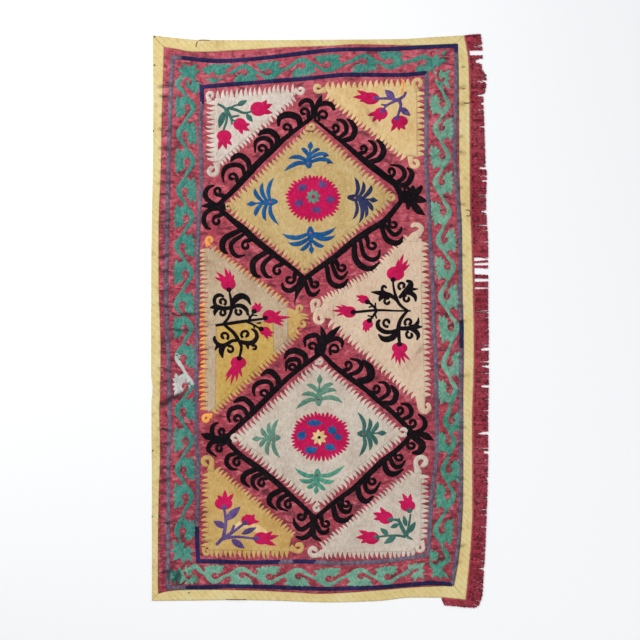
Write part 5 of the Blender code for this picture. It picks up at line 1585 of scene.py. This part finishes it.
# A spray is stems, leaves, scrolls and magenta tulips. A stem is its places and widths; a leaf its base, tip
# and width; a tulip its body's middle and size, its petal tips and, if it has a knot at its foot, its place.
sprays = [
    {"stem": "deepTeal",
      "stems": [([217.6, 104.2, 222, 106.2, 226.3, 109.1, 230.3, 107.9], [2.4, 3, 3.4]),
        ([229, 108, 236, 110, 244.6, 113.1, 252.4, 111.3], [3.4, 3, 2]),
        ([227.1, 109.9, 231.1, 118.7, 232, 124.6], [3.4, 3, 2]),
        ([230, 117.6, 234.6, 116.4, 239, 115.8], [2, 2.4, 1.4]),
        ([231, 118.6, 233.6, 120.6, 236.4, 121.4], [1.8, 2, 1.2]),
        ([225.5, 109.6, 226.8, 119.3, 223.4, 131], [3, 3, 2]),
        ([229, 109, 234.3, 105.9, 239.6, 104.6], [2.4, 2.2, 1.6])],
      "leaves": [((237.6, 105.4), (247, 100.6), 5.6), ((246.6, 114.6), (252.6, 121.8), 5.6),
        ((223.6, 112.4), (219, 128.2), 7)],
      "tulips": [((258.6, 109.1), (17, 16), [266.8, 100.2, 272.4, 104, 272.4, 113]),
        ((239.9, 124.3), (13.5, 13.6), [250, 124.3, 249.8, 130.8, 242.6, 134.6]),
        ((224.3, 136.2), (15, 13.6), [218.3, 150.2, 226.4, 149.6, 232, 145.2])]},
    {"stem": "violet",
      "stems": [([400.6, 101.4, 396.5, 100, 388, 98.6, 377, 98.8], [4.2, 3.4, 2.4]),
        ([397, 100.4, 403.6, 96.4, 405.8, 92], [3.6, 2.6]),
        ([396.5, 100.6, 390, 103.6, 385.6, 106.4, 382.7, 111], [3.2, 2.6, 2.2]),
        ([386.6, 105.6, 381, 104.6], [2.6, 1.6]),
        ([399.6, 101.4, 400.6, 106.4, 397, 118.4], [4, 3.2, 2.4])],
      "leaves": [((394, 98.6), (385, 90), 8), ((400.4, 108), (410.2, 115.8), 7)],
      "tulips": [((370.6, 98.6), (18, 13.5), [357, 90.6, 352.8, 97.2, 359.4, 101.6], (376.1, 98.4)),
        ((380.9, 113.6), (13.6, 13.4), [367.4, 115.6, 372.2, 122, 379.4, 122.2], (382.9, 111.1)),
        ((399.5, 121.4), (17, 13), [391, 131.4, 399.3, 130.6, 405.4, 129.7], (396.9, 118.3))]},
    {"stem": "violet",
      "stems": [([216.2, 544.8, 220, 541, 223.4, 537.6], [3.2, 4]),
        ([223, 539, 224.2, 533, 225.9, 521.2, 223.8, 506], [4, 3.6, 2.6]),
        ([223, 538.6, 231, 533, 237.3, 528.7, 245.4, 522.4], [4, 3.4, 2.4]),
        ([223.2, 538.2, 232, 537, 239.8, 536.8, 254, 538.4], [4, 3, 2.4]),
        ([231, 532.4, 234.4, 525], [2.4, 3])],
      "leaves": [((226.4, 519.6), (240.4, 506.4), 8.4), ((225.4, 527), (213.6, 521), 7.4),
        ((242, 533.6), (256.4, 527.4), 6), ((232, 539.6), (244.6, 548), 7.4)],
      "tulips": [((223.6, 503.4), (18, 14), [217.4, 495.2, 224.9, 489.8, 233.6, 493.4], (224.1, 507)),
        ((248.2, 519.8), (14, 12), [246.2, 514, 254.8, 514, 259.4, 521.4], (245, 522.6)),
        ((261.4, 538.2), (16, 14), [272.3, 531.2, 278.6, 535.3, 276, 545.2], (256.4, 538.2))]},
    {"stem": "deepTeal",
      "stems": [([412.5, 539.3, 407.1, 536.6], [1.6, 3.6]),
        ([406.6, 536.6, 409.1, 523.2, 410.5, 513.8], [3.4, 2.4, 2]),
        ([406.5, 536.2, 401.8, 527.2, 398.4, 520.5, 391.4, 519.2], [4, 4.4, 3.4, 2]),
        ([405.8, 536.6, 393.7, 535.2, 378, 536.6], [3, 2.2, 2]), ([399.6, 523, 399, 518], [2.4, 2])],
      "leaves": [((406, 526), (403.6, 515.6), 5), ((409, 532.4), (415.4, 521.6), 6),
        ((398.4, 524), (390.4, 527.6), 5), ((388, 534.6), (380.4, 528), 5.6),
        ((395.4, 536.4), (384, 543.4), 6.4)],
      "tulips": [((407.8, 505.6), (15, 13), [402.4, 493.4, 410.5, 493.2, 398, 501.3], (409.5, 510.4)),
        ((385.6, 517.6), (15, 14), [380, 506.9, 372.8, 513, 373.6, 519.4], (390.4, 519.6)),
        ((371.6, 537.8), (16, 14), [358.7, 530.2, 355.8, 537.4, 360.9, 543], (376.7, 537))]},
    {"stem": "black",
      "stems": [([229.2, 290.4, 231.8, 306, 229.2, 316.5, 223, 324.6], [2, 3.8, 3.2, 3.2]),
        ([215.5, 325.4, 227.9, 323.7, 242.3, 321.5, 264, 318.7], [2.6, 3.6, 3.6, 2.4]),
        ([224.6, 325, 233.1, 332.2, 237.7, 338.8, 241.4, 346.6, 239.6, 357], [3, 4, 4.2, 3.4, 2.6]),
        ([247.5, 321.8, 251, 316.6, 254.1, 311.6], [2.6, 2.2]),
        ([247, 321.8, 252.8, 324.4, 260.6, 329], [2.6, 2.2]), ([252, 315, 257.4, 315.6], [2, 1.4]),
        ([249.6, 318, 248.6, 313.6], [2, 1.4]), ([253.6, 324.8, 254.4, 328.6], [2, 1.4]),
        ([256.6, 323.4, 261, 323], [1.4, 2]),
        ([231, 307.8, 223, 308.4, 215.6, 307, 209.8, 307.8], [4.4, 4.6, 6, 0.8]),
        ([217, 307.6, 214.4, 302, 215.4, 297.2, 219.6, 295, 224, 296.8], [4, 4, 4.2, 4.2, 2.6]),
        ([217.4, 308.6, 215, 312, 214.8, 316], [4.6, 4.4, 0.8]),
        ([231.4, 308, 233.6, 302, 237.4, 297.6, 242.4, 296, 247.6, 298.8, 250.8, 305],
          [3, 6, 7.4, 6.6, 5, 1.4]),
        ([231.8, 308.6, 237.4, 305.6, 243, 306.6, 247, 310.6, 247.4, 315.4], [3, 4.4, 5, 4.4, 1.4]),
        ([237, 340.4, 231.8, 341, 224.6, 345.4, 218.4, 344.4, 214.6, 339.6, 214.8, 336],
          [3.6, 3.6, 5, 4.4, 4, 2]),
        ([220, 345, 217, 347, 214.8, 350.4], [4, 3.6, 0.8]),
        ([223.4, 345.4, 221.4, 351, 222.8, 358], [6, 6.4, 1.6]),
        ([239.4, 341, 246, 343, 252.6, 342.4, 256.8, 337.6, 255.8, 331.8, 251.4, 328.8],
          [3.6, 5, 5.4, 4.6, 4, 2]),
        ([248.6, 342.6, 247.6, 345.6, 248.4, 349], [4.4, 4, 1.4])],
      "scrolls": [((222.4, 302.2), 3.4, -60, 330), ((222.4, 312.6), 2.9, 60, -330),
        ((239, 311.6), 3.3, 130, 330), ((224.4, 336.6), 3.9, -50, 340),
        ((229.8, 349.4), 3.4, 120, -330), ((245.4, 334.8), 4, 230, -340),
        ((254, 347.6), 2.3, 150, -300)],
      "tulips": [((228.4, 284), (15, 14.6),
          [224.7, 267.4, 216.2, 272, 214.6, 277.4, 230, 269.8, 234, 274.4], (229, 289.6)),
        ((269.6, 316.6), (14.6, 15), [281, 311, 290.9, 317.2, 284, 321.6, 283.6, 326], (265.4, 317.8)),
        ((256.4, 308.6), (10, 9), [254.8, 302.4, 260.8, 302.6, 262.6, 306.6], (254.2, 311.2)),
        ((265, 331), (11, 9.6), [274.2, 332.6, 272.8, 336.4, 268.2, 339.2], (261.2, 329)),
        ((238.4, 362.6), (16, 14), [225.6, 376.6, 225.8, 380.6, 230.6, 385, 236.8, 381.4, 242, 377],
          (239.4, 358.2))]},
    {"stem": "black",
      "stems": [([393, 279.7, 393.5, 287.2, 396.4, 298.4, 400.4, 305.4, 408, 311],
          [2.2, 2.4, 3.8, 3.4, 2.8]),
        ([410.5, 310.8, 395.8, 310.8, 377.1, 310.2, 353.6, 312.3], [2.2, 2, 2.8, 3]),
        ([407, 311, 400.6, 319.5, 398.3, 328.2, 398.9, 336.9, 399.5, 344], [3, 4, 4.8, 4, 3.2]),
        ([376.6, 310, 371.8, 304.8, 367.6, 301.6], [2.8, 2.4]),
        ([375.2, 308, 375.4, 302.6], [2.4, 1.6]), ([372.6, 306, 368.6, 307.4], [2.2, 1.6]),
        ([376.6, 311, 372.4, 317, 369.4, 321], [2.8, 2.4]), ([375, 314, 376.6, 318.6], [2.2, 1.6]),
        ([372.4, 316.8, 367.6, 315.6], [2, 1.6]),
        ([398.4, 302, 392, 296.4, 386, 294.6, 379.6, 293, 370.6, 292], [3, 4.6, 6.6, 5.4, 0.8]),
        ([385.6, 294, 382, 289.6, 383.6, 286, 386.6, 288], [4, 3.4, 3, 2.6]),
        ([384.6, 295.4, 380.8, 297.6, 379.2, 301.4], [5, 5.4, 1.4]),
        ([399, 298, 405, 291.6, 409.6, 287.4, 410.4, 282.6, 406, 280.6], [3.4, 5.4, 7.4, 5.4, 2.4]),
        ([406, 291, 412, 289.4, 418.2, 289], [5, 4, 0.8]),
        ([404.6, 292.4, 410.4, 293, 414.8, 296.4, 415.6, 301.6], [5, 5.4, 4.8, 1.6]),
        ([398.4, 329.6, 391.4, 332, 384, 331.6, 378.4, 327.4, 377.8, 322.4, 380.2, 319.6],
          [4, 4.6, 5, 5, 4.4, 2]),
        ([398.4, 330.6, 393.6, 336.6, 387.6, 339.2, 382.6, 338.4, 378.2, 334.2],
          [4, 6.6, 6.8, 5.6, 1.4]),
        ([399, 328.4, 407.4, 328.4, 414.6, 327, 422.6, 326.8], [4.4, 5, 6.4, 0.8]),
        ([414, 327, 417.6, 322.6, 418.6, 317.2], [4.4, 4, 0.8]),
        ([411, 328.4, 416, 331.6, 418.2, 335.6, 416.6, 340.2], [5, 5.4, 4.6, 1.4])],
      "scrolls": [((387.6, 301.4), 3.3, 60, 330), ((402, 286.2), 3.6, 250, -340),
        ((407, 298.4), 3.4, 100, 330), ((387.2, 322.8), 3.9, 290, -340),
        ((408.4, 322.6), 3.7, 230, -340), ((409.8, 334.6), 3.6, 110, 330)],
      "tulips": [((395.4, 273.6), (18, 16), [403.4, 253.6, 408.2, 259.6, 409.6, 264.4, 398.4, 259.6],
          (393, 279.6)),
        ((349.4, 312), (14, 12.6), [331.4, 310.8, 335.2, 306.2, 341, 304.6, 336.6, 315.6],
          (353, 312.2)),
        ((364, 299.6), (10, 9), [355.8, 295.8, 357.4, 300.6, 360.6, 294.8], (367.4, 301.8)),
        ((367.8, 323.9), (10.6, 10), [362.8, 330.6, 365.8, 332.6, 369, 331], (369.3, 320.6)),
        ((399.5, 348), (16, 12.6), [391, 360.2, 395.8, 363.4, 400, 366, 405.2, 363.4, 410.2, 360.4],
          (399.5, 344.2))]},
]


def layTulip(middle, size, tips):
    # a round body, and petals that leave its far half and narrow to their tips
    middle = np.array(middle)
    layDisc("magenta", middle, (size[0] * 0.49, size[1] * 0.49), 1.4, 0.85)
    wide = min(size) * (0.26 if len(tips) > 3 else 0.35)
    for tip in tips:
        reach = tip - middle
        side = unit(np.array([-reach[1], reach[0]]))
        bend = middle + reach * 0.45 + side * 0.7
        near = middle + reach * 0.74 + side * 0.4
        widths = [1.7 * wide, 1.15 * wide, 0.8 * wide, 0.3]
        stroke("magenta", [middle + reach * 0.1, bend, near, tip], widths, level=1.4, height=0.85)


def laySpray(spray):
    stem = spray["stem"]
    for places, widths in spray["stems"]:
        stroke(stem, places, widths, level=1.4)
    for base, tip, width in spray.get("leaves", ()):
        leaf(stem, base, tip, width, level=1.4)
    for middle, radius, start, sweep in spray.get("scrolls", ()):
        curl(stem, middle, radius, start, 0.9 * sweep, 3.2, level=1.4)
    for middle, size, tips, *knots in spray["tulips"]:
        layTulip(middle, size, pairs(tips))
        for knot in knots:
            layDisc(stem, knot, (2.7, 2.7), 2.2, 0.8)


# Loose ends and knots of brown sewing thread on the borders: places, and width.
looseThreads = [
    ([466, 210, 468.8, 210.4, 470.4, 213, 469.4, 216, 466.4, 215.8], 0.9),
    ([463.6, 102.8, 466, 103.4, 469.6, 103], 1.0), ([197.6, 41.6, 196.4, 44, 196, 47], 0.7),
    ([198.6, 40.4, 204, 40.2, 209.6, 40.6], 0.6), ([154.2, 64.6, 154.6, 66.2], 1.5),
    ([153.4, 130.2, 153.6, 131.4], 1.1), ([152.6, 449.8, 152.8, 451.2], 1.3),
    ([152.2, 516, 152.4, 517], 1.1), ([154, 36.4, 155.4, 37.2], 1.4),
    ([226, 599, 236, 599.4, 246, 599.2], 0.6), ([188.4, 592.4, 190, 592.8], 0.9),
    ([461.4, 67.2, 464.6, 67], 0.6), ([462, 89, 465, 88.6], 0.6),
]


cotton = borderMaterial()
yarn = yarnMaterial()
satinLook = satinMaterial()
ground = makeSatin(satinLook)
strips = {side: makeBorder(side, count, cotton) for side, count in border["stations"].items()}
makeYarns(yarn)
makeHeading(yarn)
print("suzani: satin, border and fringe made")

layFrameLines()
layVine()
layVineFans()
for field in fields.values():
    layField(field)
for thread, places, widths in oddThreads:
    stroke(thread, places, widths, level=1.38, height=0.15)
layDiamonds()
for rosette in rosettes.values():
    layRosette(rosette)
for palmette in palmettes:
    layPalmette(palmette)
for spray in sprays:
    laySpray(spray)
for places, width in looseThreads:
    stroke("brown", places, [width], level=3, height=0.5)
# the crimson is the satin that is left open between the green leaves
threads = [makeThread(thread, satinLook if thread == "crimson" else threadMaterial(thread))
           for thread in laid]
print("suzani: embroidery laid in", len(threads), "threads")

# A pale floor, soft light from the upper left with a wide fill, and a camera straight above, as in the
# photograph.
studio = {
    "floorColour": (252, 252, 252), "floorDrop": 0.2 * mm, "floorSize": 14.0,
    "lights": [("window", (-3.2, 2.8, 2.6), 2.2, 140.0), ("fill", (1.8, -2.0, 4.4), 4.0, 80.0)],
    "daylight": 0.54,
    "cameraHeight": 3.556, "lens": 50.0, "aim": (-0.001, 0.002),
}


def makeStudio():
    # the floor is one flat square; each lamp is a square panel aimed at the middle of the cloth
    half = studio["floorSize"] / 2
    corners = [(-half, -half), (half, -half), (half, half), (-half, half)]
    mesh = bpy.data.meshes.new("floor")
    mesh.from_pydata([(x, y, -studio["floorDrop"]) for x, y in corners], [], [(0, 1, 2, 3)])
    floor = bpy.data.objects.new("floor", mesh)
    material, _, inputs = newMaterial("floor")
    inputs["Base Color"].default_value = dye(*studio["floorColour"])
    inputs["Roughness"].default_value = 0.9
    inputs["Specular IOR Level"].default_value = 0.1
    mesh.materials.append(material)
    scene = bpy.context.scene
    scene.collection.objects.link(floor)
    for name, place, size, power in studio["lights"]:
        lamp = bpy.data.lights.new(name, "AREA")
        lamp.size = size
        lamp.energy = power
        holder = bpy.data.objects.new(name, lamp)
        holder.location = place
        holder.rotation_euler = (-Vector(place)).to_track_quat("-Z", "Y").to_euler()
        scene.collection.objects.link(holder)
    scene.world = bpy.data.worlds.new("daylight")
    scene.world.use_nodes = True
    sky = scene.world.node_tree.nodes["Background"].inputs
    sky["Color"].default_value = (0.93, 0.96, 1.0, 1.0)
    sky["Strength"].default_value = studio["daylight"]
    camera = bpy.data.cameras.new("camera")
    camera.lens = studio["lens"]
    eye = bpy.data.objects.new("camera", camera)
    eye.location = (*studio["aim"], studio["cameraHeight"])
    scene.collection.objects.link(eye)
    scene.camera = eye
    scene.view_settings.view_transform = "Standard"
    scene.view_settings.look = "None"


makeStudio()
print("suzani: studio set")
